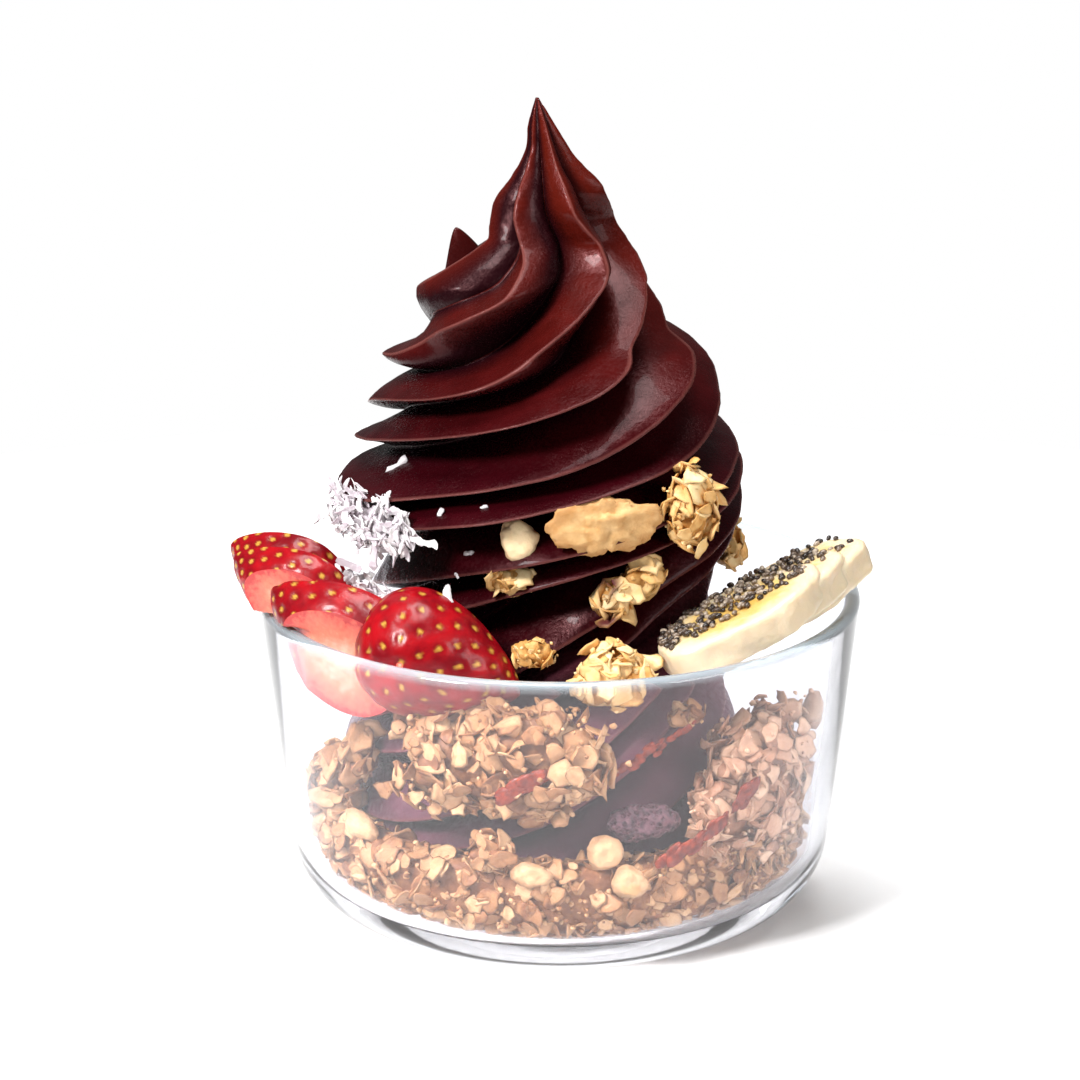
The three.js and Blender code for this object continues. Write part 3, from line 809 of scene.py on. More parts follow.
@dataclass
class Dish:
    """The round glass dish: a flat base, a rounded heel, a wall that leans out and a rounded rim.

    Attributes:
        rim_radius: The outer radius of the rim.
        height: The height of the rim.
        base_radius: The radius of the flat base.
        heel_radius: The outer radius of the rounded heel.
        inner_heel: The inner radius of the rounded heel.
        wall: The thickness of the wall.
        floor: The thickness of the floor.
        sides: How many points go round it.
    """

    rim_radius: float = 75.5
    height: float = 81
    base_radius: float = 49.4
    heel_radius: float = 19.2
    inner_heel: float = 15
    wall: float = 4
    floor: float = 7
    sides: int = 192

    def __post_init__(self) -> None:
        """Works out the direction in which the wall leaves the heel's arc."""
        self.rim = (self.rim_radius - self.wall / 2, self.height - self.wall / 2)
        across, up = self.rim[0] - self.base_radius, self.rim[1] - self.heel_radius
        reach = math.hypot(across, up)
        self.lean = math.atan2(up, across) - math.acos((self.heel_radius - self.wall / 2) / reach)
        self.inner_height = self.floor + self.inner_heel
        self.inner_centre = self.wall_radius(self.inner_height, self.wall / 2 + self.inner_heel)

    def wall_radius(self, height: float | np.ndarray, inward: float) -> float | np.ndarray:
        """The radius at a height of a line `inward` of the middle of the wall."""
        return self.rim[0] - (inward + (height - self.rim[1]) * math.sin(self.lean)) / math.cos(self.lean)

    def inner_radius(self, height: np.ndarray) -> np.ndarray:
        """The radius of the inner face, with the floor's round.

        Args:
            height: The heights.

        Returns:
            The radius at each height.
        """
        straight = self.wall_radius(np.minimum(height, self.height), self.wall / 2)
        drop = np.clip(self.inner_height - height, 0, self.inner_heel)
        round_part = self.inner_centre + np.sqrt(np.maximum(self.inner_heel**2 - drop**2, 0))
        return np.where(height < self.inner_height, np.minimum(round_part, straight), straight)

    def keep_inside(self, form: Form, gap: float = 0.5) -> Form:
        """Pulls a form's points in from the glass and up off the floor.

        Args:
            form: The form, which is changed.
            gap: How far short of the glass it stays.

        Returns:
            The form.
        """
        p = form.points
        p[:, 2] = np.where(p[:, 2] < self.height, np.maximum(p[:, 2], self.floor + gap), p[:, 2])
        radius = np.hypot(p[:, 0], p[:, 1])
        most = np.where(p[:, 2] < self.height + 1, self.inner_radius(p[:, 2]) - gap, 1e9)
        p[:, :2] *= np.minimum(1, most / np.maximum(radius, 1e-6))[:, None]
        return form

    @staticmethod
    def arc(centre: tuple[float, float], radius: float, start: float, end: float, steps: int) -> np.ndarray:
        """Points on an arc, as radius and height."""
        a = np.linspace(start, end, steps + 1)
        return np.stack([centre[0] + radius * np.cos(a), centre[1] + radius * np.sin(a)], 1)

    def build(self, glass: Material) -> None:
        """Lathes the dish, which casts no shadow.

        Args:
            glass: Its material.
        """
        profile = [
            [[0.01, 0.0], [30.0, 0.0]],
            self.arc((self.base_radius, self.heel_radius), self.heel_radius, -math.pi / 2, self.lean, 20),
            self.arc(self.rim, self.wall / 2, self.lean, self.lean + math.pi, 14),
            self.arc((self.inner_centre, self.inner_height), self.inner_heel, self.lean, -math.pi / 2, 18),
            [[30.0, self.floor], [0.01, self.floor]],
        ]
        form = lathed(np.concatenate(profile), -circle(self.sides))
        make_piece("glass_dish", form, [glass], ["glass_bowl"]).visible_shadow = False


# ---- the swirl


def coconut_shred(rng: np.random.Generator, bend: float = 0.3) -> Form:
    """One shred of coconut: a thin strip of half length 1, bent and twisted, with torn ends.

    Args:
        rng: Draws its shape.
        bend: The most it bends.

    Returns:
        The strip, along X.
    """
    steps, thickness = 9, 0.28
    along = np.linspace(-1, 1, steps)
    curve, twist = rng.uniform(-bend, bend), rng.uniform(-0.6, 0.6)
    width = 0.33 * (1 + 0.18 * rng.standard_normal(steps)) * np.minimum(1, 1.25 - np.abs(along) ** 4)
    rings = []
    for x, wide in zip(along, width):
        turn = twist * x
        across = np.array([0, math.cos(turn), math.sin(turn)])
        out = np.array([0, -math.sin(turn), math.cos(turn)]) * 0.9 * thickness
        middle = np.array([x, curve * math.sin(2.2 * x), 0.12 * math.sin(3 * x + curve * 9)])
        corners = ((-1, -1), (1, -1), (1, 1), (-1, 1))
        rings.append([middle + (across * a + out * b) * wide for a, b in corners])
    form = capped_rings(np.array(rings))
    form.faces = [tuple(reversed(f)) for f in form.faces]
    return form


@dataclass
class Swirl:
    """Soft-served acai: stacked rings with six fins that wind down from the tip.

    Each row of a curve is (height, value).

    Attributes:
        fins: How many fins it has.
        top: The height of its tip.
        bottom: The height of its lowest ring.
        rows: How many rings it has.
        per_fin: How many points each fin has in a ring.
        middle_x: Where its middle is, which its unevenness points away from.
        curl_at: Where the curl of acai on its shoulder starts.
        curl_lean: The way the curl points.
        curl_radius: The curl's radius at its foot.
        curl_flatness: The curl's depth, as a share of its width.
        curl_length: The curl's length.
        curl_bend: How far the curl's tip bends sideways.
        groove_at: Where between two fins the groove is, as a share.
        bulge: How round the underside of a fin is.
        crown: How round the ledge above a groove is.
        groove_lift: How far the bottom of a groove is raised.
        left_groove: The depth of the left side's grooves, as a share of the right side's.
        edge_round: How soft the edges of the fins are.
        bits: The bits of coconut on it: the level, the fin, the step on it and the half length.
        radius_left: The radius at the left.
        radius_right: The radius at the right.
        winding: How many fins the edges have wound round it.
        lean_right: How much higher a ring is at the right.
        lean_back: How much higher a ring is at the back.
        centre_x: The middle of each ring, to the right.
        centre_y: The middle of each ring, to the back.
        groove_depth: How deep the grooves are, as a share of the radius.
        pairing: How far the fins draw together in pairs.
    """

    fins: int = 6
    top: float = 205
    bottom: float = 24
    rows: int = 310
    per_fin: int = 36
    middle_x: float = -4.0
    curl_at: Triple = (-22, 8, 158)
    curl_lean: Triple = (-0.15, -0.1, 1)
    curl_radius: float = 7
    curl_flatness: float = 0.6
    curl_length: float = 14
    curl_bend: float = 1.5
    groove_at: Rows = (
        (205, 0.5), (185, 0.6), (165, 0.68), (150, 0.62), (138, 0.5), (125, 0.42), (60, 0.4), (20, 0.4),
    )
    bulge: Rows = ((205, 0.2), (170, 0.3), (150, 0.35), (135, 0.1), (120, 0), (20, 0))
    crown: Rows = ((205, 0), (155, 0), (140, 0.25), (122, 0.5), (60, 0.6), (20, 0.6))
    groove_lift: Rows = ((205, 0), (180, 1), (150, 1.5), (125, 3), (60, 3), (20, 1))
    left_groove: Rows = ((205, 0.6), (172, 0.5), (160, 0.25), (150, 0.4), (138, 0.6), (20, 0.6))
    edge_round: float = 0.025
    bits: tuple[tuple[float, int, float, float], ...] = (
        (112.2, 3, 1.6, 1.5), (114, 3, 1.6, 1.1), (103, 4, 1.5, 1.3), (99.8, 4, 1.95, 0.8), (93, 5, 1.5, 1.4),
        (116.5, 2, 1.35, 3.6),
    )
    radius_left: Rows = (
        (205, 0.4), (200, 2), (194, 3.2), (189, 5.6), (183.5, 9.5), (179, 12.2), (175, 13), (171.5, 13.6),
        (168.5, 17.5), (165, 23.5), (160.5, 29.5), (154, 33), (149, 33.5), (145, 36), (140, 40.5),
        (133, 42.5), (124, 44), (115.5, 49), (112, 54), (104, 50), (95, 44), (85, 42), (60, 48), (40, 51),
        (20, 48),
    )
    radius_right: Rows = (
        (205, 0.4), (200, 3), (192, 7.5), (188.5, 10.2), (184.5, 14), (179, 16.5), (173, 19), (166, 23.5),
        (160, 26.5), (154, 29), (149, 30.5), (144, 39), (138, 43), (128, 45), (118, 49), (108, 51.5),
        (99, 50), (90, 46), (80, 42), (60, 45), (40, 49), (20, 46),
    )
    winding: Rows = (
        (205, 0.5), (188, 0.58), (181, 0.55), (176, 0.4), (171, 0.24), (166, 0.3), (161, 0.6), (157, 0.86),
        (148.5, 1.3), (139, 2), (123, 3), (109, 4.5), (95.5, 6), (70, 8), (45, 9.8), (20, 11.5),
    )
    lean_right: Rows = ((205, 0), (165, 3), (148, 4), (123, 0), (95, 5), (70, 10), (45, 10), (24, 1))
    lean_back: Rows = ((205, 0), (165, 3), (148, 4), (123, 0.5), (95, 4), (70, 8), (45, 8), (24, 1))
    centre_x: Rows = ((205, -5.5), (180, -4), (150, -4), (110, -5), (45, -4), (20, -3))
    centre_y: Rows = ((205, 0), (150, -2), (110, 4), (45, 0), (20, 0))
    groove_depth: Rows = (
        (205, 0.3), (190, 0.5), (170, 0.58), (155, 0.54), (140, 0.43), (120, 0.38), (90, 0.34), (70, 0.28),
        (45, 0.18), (20, 0.12),
    )
    pairing: Rows = ((205, 0), (140, 0), (118, 0.3), (60, 0.3), (20, 0))


    def surface(self, level: np.ndarray, fin: np.ndarray, step: np.ndarray) -> tuple[np.ndarray, np.ndarray]:
        """Points of the swirl.

        Args:
            level: The height of each point's ring before the ring leans.
            fin: The number of its fin.
            step: Where it lies on the fin: 0 is its edge, 1 the bottom of the groove below it and 2 the edge
                of the next fin.

        Returns:
            The points, and how deep each is in its groove: from 0 at a fin's edge to 1 at the groove's bottom
            on the underside, and back through negative numbers on the ledge.
        """

        def here(rows: Rows, height: np.ndarray = level) -> np.ndarray:
            """A curve's values at the points' levels or at other heights."""
            return curve_through(rows)(height)

        groove = here(self.groove_at)
        share = np.where(step < 1, step * groove, groove + (step - 1) * (1 - groove))
        inward = np.where(step < 1, step, 2 - step)
        rounding = np.where(step < 1, here(self.bulge), here(self.crown))
        hollow = rounding * (1 - np.cos(inward * math.pi / 2)) + (1 - rounding) * inward
        soft = math.hypot(1, self.edge_round) - self.edge_round
        hollow = (np.sqrt(hollow**2 + self.edge_round**2) - self.edge_round) / soft
        paired = fin + share - here(self.pairing) * np.cos(math.pi * (fin + share)) / 2
        angle = -math.pi / 2 + (paired - here(self.winding)) * 2 * math.pi / self.fins
        lean = here(self.lean_right) * np.cos(angle) + here(self.lean_back) * np.sin(angle)
        height = level + lean + here(self.groove_lift) * hollow
        side = smooth_step((1 + np.cos(angle)) / 2)
        near_left = smooth_step((np.cos(angle) + 1) / 0.8)
        at_left = here(self.left_groove)
        depth = here(self.groove_depth) * (at_left + (1 - at_left) * near_left)
        radius = here(self.radius_left, height) * (1 - side) + here(self.radius_right, height) * side
        radius = radius * (1 - depth * hollow)
        x = here(self.centre_x) + radius * np.cos(angle)
        y = here(self.centre_y) + radius * np.sin(angle)
        return np.stack([x, y, height], axis=-1), np.where(step < 1, hollow, -hollow)

    def body(self) -> Form:
        """Shapes the swirl itself, with fine unevenness that fades towards its tip.

        Returns:
            The body.
        """
        level = np.linspace(self.top, self.bottom, self.rows)
        fin = np.repeat(np.arange(self.fins), self.per_fin)
        step = np.tile(np.arange(self.per_fin) * 2 / self.per_fin, self.fins)
        levels, fins = np.meshgrid(level, fin, indexing="ij")
        rings, hollow = self.surface(levels, fins, np.broadcast_to(step, levels.shape))
        form, noise = capped_rings(rings, {"hollow": hollow}), Noise(3)
        outward = unit(form.points * np.array([1, 1, 0]) - np.array([self.middle_x, 0, 0]))
        swell = 0.35 * noise.rough(form.points, 9) + 0.12 * noise.rough(form.points, 1.8, 2)
        fade = np.clip((self.top - form.points[:, 2]) / 8, 0, 1)
        form.points = form.points + outward * (swell * fade)[:, None]
        return form.with_finish(0)

    def curl_form(self) -> Form:
        """Shapes the pinched-off curl of acai on the left shoulder: a bent, tapering horn.

        Returns:
            The curl.
        """
        share, angle = np.linspace(1, 0, 26), circle(36)
        radius = self.curl_radius * (1 - share) ** 0.75 + 0.25
        form = lathed(np.stack([radius, share * self.curl_length], 1), angle)
        form.points[:, 1] *= self.curl_flatness
        form.points[:, 0] -= self.curl_bend * (form.points[:, 2] / self.curl_length) ** 2
        form.points = form.points @ axes_from((1.0, 0.0, 0.0), self.curl_lean) + np.array(self.curl_at)
        # The curl's hollow value gives it part of the acai's painted fold shade.
        return form.tagged(hollow=0.25).with_finish(0)

    def bits_form(self) -> Form:
        """Shapes the loose bits of coconut that lie on the swirl, of which the long one is curved.

        Returns:
            The bits, in one form.
        """
        rng = np.random.default_rng(17)
        parts = []
        for level, fin, step, half in self.bits:
            spot = self.surface(np.array([level]), np.array([fin]), np.array([step]))[0]
            long = half > 3
            shapes = [coconut_shred(rng, 0.75 if long else 0.3)]
            along = np.array([[0.25, -0.2, 1.0]]) + (not long) * rng.standard_normal((1, 3))
            width = half * (0.8 if long else 1.5)
            axes, size = axes_from(along, [[-0.5, -1.0, 0.3]]), np.array([[half, width, width]])
            parts.append(copies(shapes, spot, axes, size, rng).tagged(tone=0.6, hollow=0).with_finish(1))
        return joined(parts)

    def build(self, acai: Material, coconut: Material) -> None:
        """Makes the swirl with its curl and the bits of coconut that lie on it.

        Args:
            acai: The swirl's material.
            coconut: The bits' material.
        """
        form = joined([self.body(), self.curl_form(), self.bits_form()])
        make_piece("acai_soft_serve", form, [acai, coconut], ["acai_swirl"])


# ---- granola


class OatKind(Enum):
    """What a copied bit of granola is."""

    ROLLED = "rolled"
    CRUMB = "crumb"


@dataclass(frozen=True)
class Layer:
    """A layer of oats or crumbs.

    Attributes:
        kind: Oats or crumbs.
        count: How many it has; in a cluster, as a share of the cluster's oats.
        size: The least and the greatest half width.
        wild: How far they stand up from the surface, from 0 for flat to about 1.
        reach: In a cluster, how far out they lie, as a share of its size.
        gather: On the bed, how much denser they lie towards the wall.
    """

    kind: OatKind
    count: float
    size: tuple[float, float]
    wild: float
    reach: float = 1.0
    gather: float = 1.0


class Oats:
    """The few oat shapes that all the granola is made from."""

    def __init__(self, seed: int) -> None:
        """Shapes the prototypes.

        Args:
            seed: What their random draws start from.
        """
        self.rng = np.random.default_rng(seed)
        crumbs = [rough_ball(5, 3, 0.35, Noise(seed + n)).tagged(rim=0.4) for n in range(5)]
        self.shapes = {OatKind.ROLLED: [self.rolled() for _ in range(9)], OatKind.CRUMB: crumbs}

    def rolled(self) -> Form:
        """Shapes one rolled oat: an uneven oval, curled, with a crease and a ragged edge.

        Returns:
            The oat, about 1 in half width.
        """
        rng, around = self.rng, 11
        angle = circle(around)
        ragged = 1 + 0.13 * rng.standard_normal(around)
        curl, twist, fold = rng.uniform(-0.4, 0.5), rng.uniform(-0.35, 0.35), rng.uniform(0.0, 0.4)
        rows, rim = [], []
        for reach, thick in ((0.42, 0.16), (0.82, 0.13), (1.0, 0.0), (0.7, -0.15)):
            x = reach * ragged * np.cos(angle)
            y = reach * ragged * np.sin(angle) * 0.76
            rows.append(np.stack([x, y, thick * 0.55 + curl * x * x + twist * x * y + fold * np.abs(y)], 1))
            rim.append(np.full(around, reach))
        return capped_rings(np.array(rows), {"rim": np.array(rim)})

    def scatter(
        self,
        layer: Layer,
        spots: np.ndarray,
        outward: np.ndarray,
        rng: np.random.Generator,
        scale: float = 1.0,
    ) -> Form:
        """Lays a layer's oats or crumbs at given places.

        Args:
            layer: What they are like.
            spots: Their places.
            outward: The way the surface under each one faces.
            rng: Draws their sizes and turns.
            scale: Makes them smaller.

        Returns:
            One form.
        """
        up = unit(outward + layer.wild * rng.standard_normal(spots.shape))
        axes = axes_from(rng.standard_normal(spots.shape), up)
        half = rng.uniform(*np.array(layer.size) * scale, len(spots))
        return copies(self.shapes[layer.kind], spots, axes, np.stack([half] * 3, 1), rng)


@dataclass
class Lump:
    """A lump of food somewhere in the bowl.

    Attributes:
        node: The CAD node it stands for.
        at: Its centre.
        half: Its half sizes along its own axes.
        azimuth: The turn of its long axis, in degrees.
        tilt: The lean of its long axis, in degrees.
    """

    node: str
    at: Triple
    half: Triple
    azimuth: float
    tilt: float

    def axes(self) -> np.ndarray:
        """The lump's own axes: tilted about their own Y, then turned about the vertical.

        Returns:
            The axes, as rows.
        """
        a, b = math.radians(self.azimuth), math.radians(self.tilt)
        turn = np.array([[math.cos(a), math.sin(a), 0], [-math.sin(a), math.cos(a), 0], [0, 0, 1]])
        lean = np.array([[math.cos(b), 0, -math.sin(b)], [0, 1, 0], [math.sin(b), 0, math.cos(b)]])
        return lean @ turn

    def placed(self, points: np.ndarray) -> np.ndarray:
        """Points given along its own axes from its centre, in the bowl."""
        return points @ self.axes() + np.array(self.at)


@dataclass
class Cluster(Lump):
    """A lump of granola: a rough core under oats and crumbs.

    Attributes:
        oats: How many oats cover it.
        seed: What its random draws start from.
        stain: How much of it is smeared with acai, from 0 to 1.
        core: The size of its core, as a share of its own.
        full: The greatest half size from which on its oats have their full size.
        layers: What covers the core.
    """

    oats: int
    seed: int
    stain: float = 0.0
    core: float = 0.76
    full: float = 6.5
    layers: tuple[Layer, ...] = (
        Layer(OatKind.ROLLED, 0.8, (2.8, 4.4), 0.5, reach=0.82),
        Layer(OatKind.ROLLED, 1.3, (2.6, 4.3), 0.36, reach=0.94),
        Layer(OatKind.ROLLED, 0.5, (1.6, 2.7), 0.6),
        Layer(OatKind.CRUMB, 1.8, (0.35, 0.9), 0.6),
    )

    def build(self, oats: Oats, dish: Dish, material: Material) -> None:
        """Makes the cluster.

        Args:
            oats: The oat shapes.
            dish: What it must stay inside of.
            material: The granola's material.
        """
        rng, noise = np.random.default_rng(self.seed), Noise(self.seed)
        half = np.array(self.half)
        core = rough_ball(40, 24, 0.3, noise)
        core.points = core.points * (half * self.core)
        core.points += unit(core.points) * (0.9 * noise.rough(core.points, 2.6))[:, None]
        core.points = self.placed(core.points)
        # Painted shade: the core takes the darkest toasted tone, as shade in the gaps between the oats.
        lumps = [core.tagged(tone=0.02, rim=0.9)]
        for layer in self.layers:
            count = int(self.oats * layer.count)
            number = np.arange(count)
            up = 1 - 2 * (number + 0.5) / count
            turn = GOLDEN_TURN * number + rng.uniform(0, 6)
            flat = np.sqrt(1 - up * up)
            way = np.stack([flat * np.cos(turn), flat * np.sin(turn), up], 1)
            way = unit(way + 0.18 * rng.standard_normal(way.shape))
            swell = layer.reach * (0.95 + 0.42 * noise.rough(way, 0.8)) * rng.uniform(0.9, 1.04, count)
            spots, facing = self.placed(way * half * swell[:, None]), unit(way / half) @ self.axes()
            lumps.append(oats.scatter(layer, spots, facing, rng, min(1.0, half.max() / self.full)))
        form = dish.keep_inside(joined(lumps))
        patchy = np.clip(noise.at(form.points, 6) * 2.5 + self.stain * 3 - 1.6, 0, 1)
        form.tagged(stain=patchy * (self.stain > 0))
        make_piece(self.node + "_oats", form, [material], [self.node])


@dataclass
class Bed:
    """The granola on the dish's floor: an uneven body covered with oats, higher at the wall.

    Attributes:
        top_height: Its height in the middle.
        wall_height: Its height at the wall.
        flat_radius: The radius up to which it is flat.
        inset: How far its body lies inside the glass, which leaves room for the oats.
        gap: How far it lies above the floor.
        covered: Where along its outline the oats start, and for how much of it they go on, as shares.
        seed: What its random draws start from.
        oat_layers: The layers of oats.
        crumb_layer: The layer of crumbs.
    """

    top_height: float = 21
    wall_height: float = 29
    flat_radius: float = 44
    inset: float = 3.0
    gap: float = 0.4
    covered: tuple[float, float] = (0.30, 0.50)
    seed: int = 5
    oat_layers: tuple[Layer, ...] = (
        Layer(OatKind.ROLLED, 1250, (2.3, 4.1), 0.4),
        Layer(OatKind.ROLLED, 950, (1.3, 2.5), 0.55, gather=1.3),
    )
    crumb_layer: Layer = Layer(OatKind.CRUMB, 4200, (0.35, 1.0), 0.5, gather=1.7)

    def profile(self, dish: Dish) -> np.ndarray:
        """The body's outline.

        Args:
            dish: What it lies in.

        Returns:
            Its radius and height, from the middle of its underside to its top.
        """
        reach = np.array([dish.inner_heel - self.inset, dish.inner_heel - self.gap])
        heel = np.array([dish.inner_centre, dish.inner_height])
        heel = heel + dish.arc((0, 0), 1, -math.pi / 2, dish.lean, 10) * reach
        wall = float(dish.wall_radius(self.wall_height, dish.wall / 2)) - self.inset
        above = [
            [wall - 0.6, self.wall_height - 2],
            [wall - 2.5, self.wall_height],
            [wall - 7, self.wall_height],
            [wall - 12, self.wall_height - 3],
            [self.flat_radius, self.top_height + 1],
            [30, self.top_height],
            [0.01, self.top_height],
        ]
        below = [[radius, dish.floor + self.gap] for radius in (0.01, 15, 32)]
        return np.concatenate([below, heel, above])

    def build(self, oats: Oats, dish: Dish, material: Material) -> None:
        """Makes the bed: its body, its oats and its crumbs.

        Args:
            oats: The oat shapes.
            dish: What it lies in.
            material: The granola's material.
        """
        rng, noise = np.random.default_rng(self.seed), Noise(self.seed)
        line = self.profile(dish)
        lengths = np.concatenate([[0], np.cumsum(np.hypot(*np.diff(line, axis=0).T))])

        def along(place: np.ndarray) -> np.ndarray:
            """The outline's radius and height at some lengths along it."""
            return np.stack([np.interp(place, lengths, line[:, 0]), np.interp(place, lengths, line[:, 1])], 1)

        def covering(layer: Layer) -> Form:
            """Lays one layer over the outline, at random turns.

            Args:
                layer: What it is like.

            Returns:
                Its oats or crumbs.
            """
            start, share = self.covered
            place = (start + share * rng.random(layer.count) ** layer.gather) * lengths[-1]
            (radius, height), (run, rise) = along(place).T, (along(place + 0.5) - along(place - 0.5)).T
            turn = rng.uniform(0, 2 * math.pi, layer.count)
            out = unit(np.stack([rise * np.cos(turn), rise * np.sin(turn), -run], 1))
            spots = np.stack([radius * np.cos(turn), radius * np.sin(turn), height], 1)
            spots += out * rng.uniform(-0.9, 0.6, layer.count)[:, None]
            return oats.scatter(layer, spots, out, rng)

        body = lathed(along(np.linspace(0, lengths[-1], 64)), -circle(160))
        inward = unit(body.points - np.array([0, 0, 20.0]))
        body.points -= inward * (0.6 + 0.9 * noise.rough(body.points, 3.2))[:, None]
        # Painted shade: the body takes the darkest toasted tone, as shade in the gaps between the oats.
        parts = {"core": [body.tagged(tone=0.05, rim=0.9)]}
        parts["oats"] = [covering(layer) for layer in self.oat_layers]
        parts["crumbs"] = [covering(self.crumb_layer)]
        for part, forms in parts.items():
            form = dish.keep_inside(joined(forms), 0.3).tagged(stain=0)
            make_piece("granola_bed_" + part, form, [material], ["granola_bed"])


# ---- nuts, single oats, the chip, the trails


@dataclass
class Pebble(Lump):
    """A nut, a single big oat or a chip: a flattened, uneven lump.

    Attributes:
        seed: What its bumps start from.
        tone: How pale it is, from 0 for toasted to 1.
        taper: How much narrower one end is.
        crags: The depth of its uneven relief.
        slot: The name of a material slot; not used.
    """

    seed: int
    tone: float = 0.7
    taper: float = 0.2
    crags: float = 0.35
    slot: str = "nut"

    def build(self, material: Material) -> None:
        """Makes the piece.

        Args:
            material: What it is made of.
        """
        noise = Noise(self.seed)
        ball = rough_ball(56, 36, 0.1, noise, self.seed)
        p = ball.points
        p[:, 1:] *= (1 - self.taper * p[:, 0])[:, None]
        rim = np.clip(np.hypot(p[:, 0], p[:, 2]), 0, 1)
        p = p * np.array(self.half)
        p += unit(p) * (self.crags * noise.rough(p, 2.4, 4))[:, None]
        ball.points = self.placed(p)
        ball.tagged(tone=self.tone, rim=rim, stain=0)
        make_piece(self.node + "_lump", ball, [material], [self.node])


@dataclass
class Smear:
    """A thin trail of melted acai: flat drops that run into each other along a path.

    Attributes:
        name: The object's name.
        path: The places it runs through.
        width: The trail's half width.
        seed: What its unevenness starts from.
    """

    name: str
    path: tuple[Triple, ...]
    width: float
    seed: int

    def build(self, dish: Dish, material: Material) -> None:
        """Makes the trail.

        Args:
            dish: What it must stay inside of.
            material: The melted acai.
        """
        rng, path = np.random.default_rng(self.seed), np.array(self.path, float)
        count, last = 8 * len(path), len(path) - 1
        along = np.sort(rng.uniform(0, last, count))
        spots = np.stack([np.interp(along, np.arange(last + 1), line) for line in path.T], 1)
        spots += self.width * np.array([0.35, 0.1, 0.45]) * rng.standard_normal((count, 3))
        drops = [rough_ball(14, 9, 0.3, Noise(self.seed + n)) for n in range(5)]
        turns = axes_from(np.tile(path[-1] - path[0], (count, 1)), unit(spots * np.array([1, 1, 0])))
        half = self.width * rng.uniform(0.4, 1.15, count)
        form = copies(drops, spots, turns, np.stack([half * 1.5, half, half * 0.45], 1), rng)
        make_piece(self.name, dish.keep_inside(form), [material])


# ---- fruit


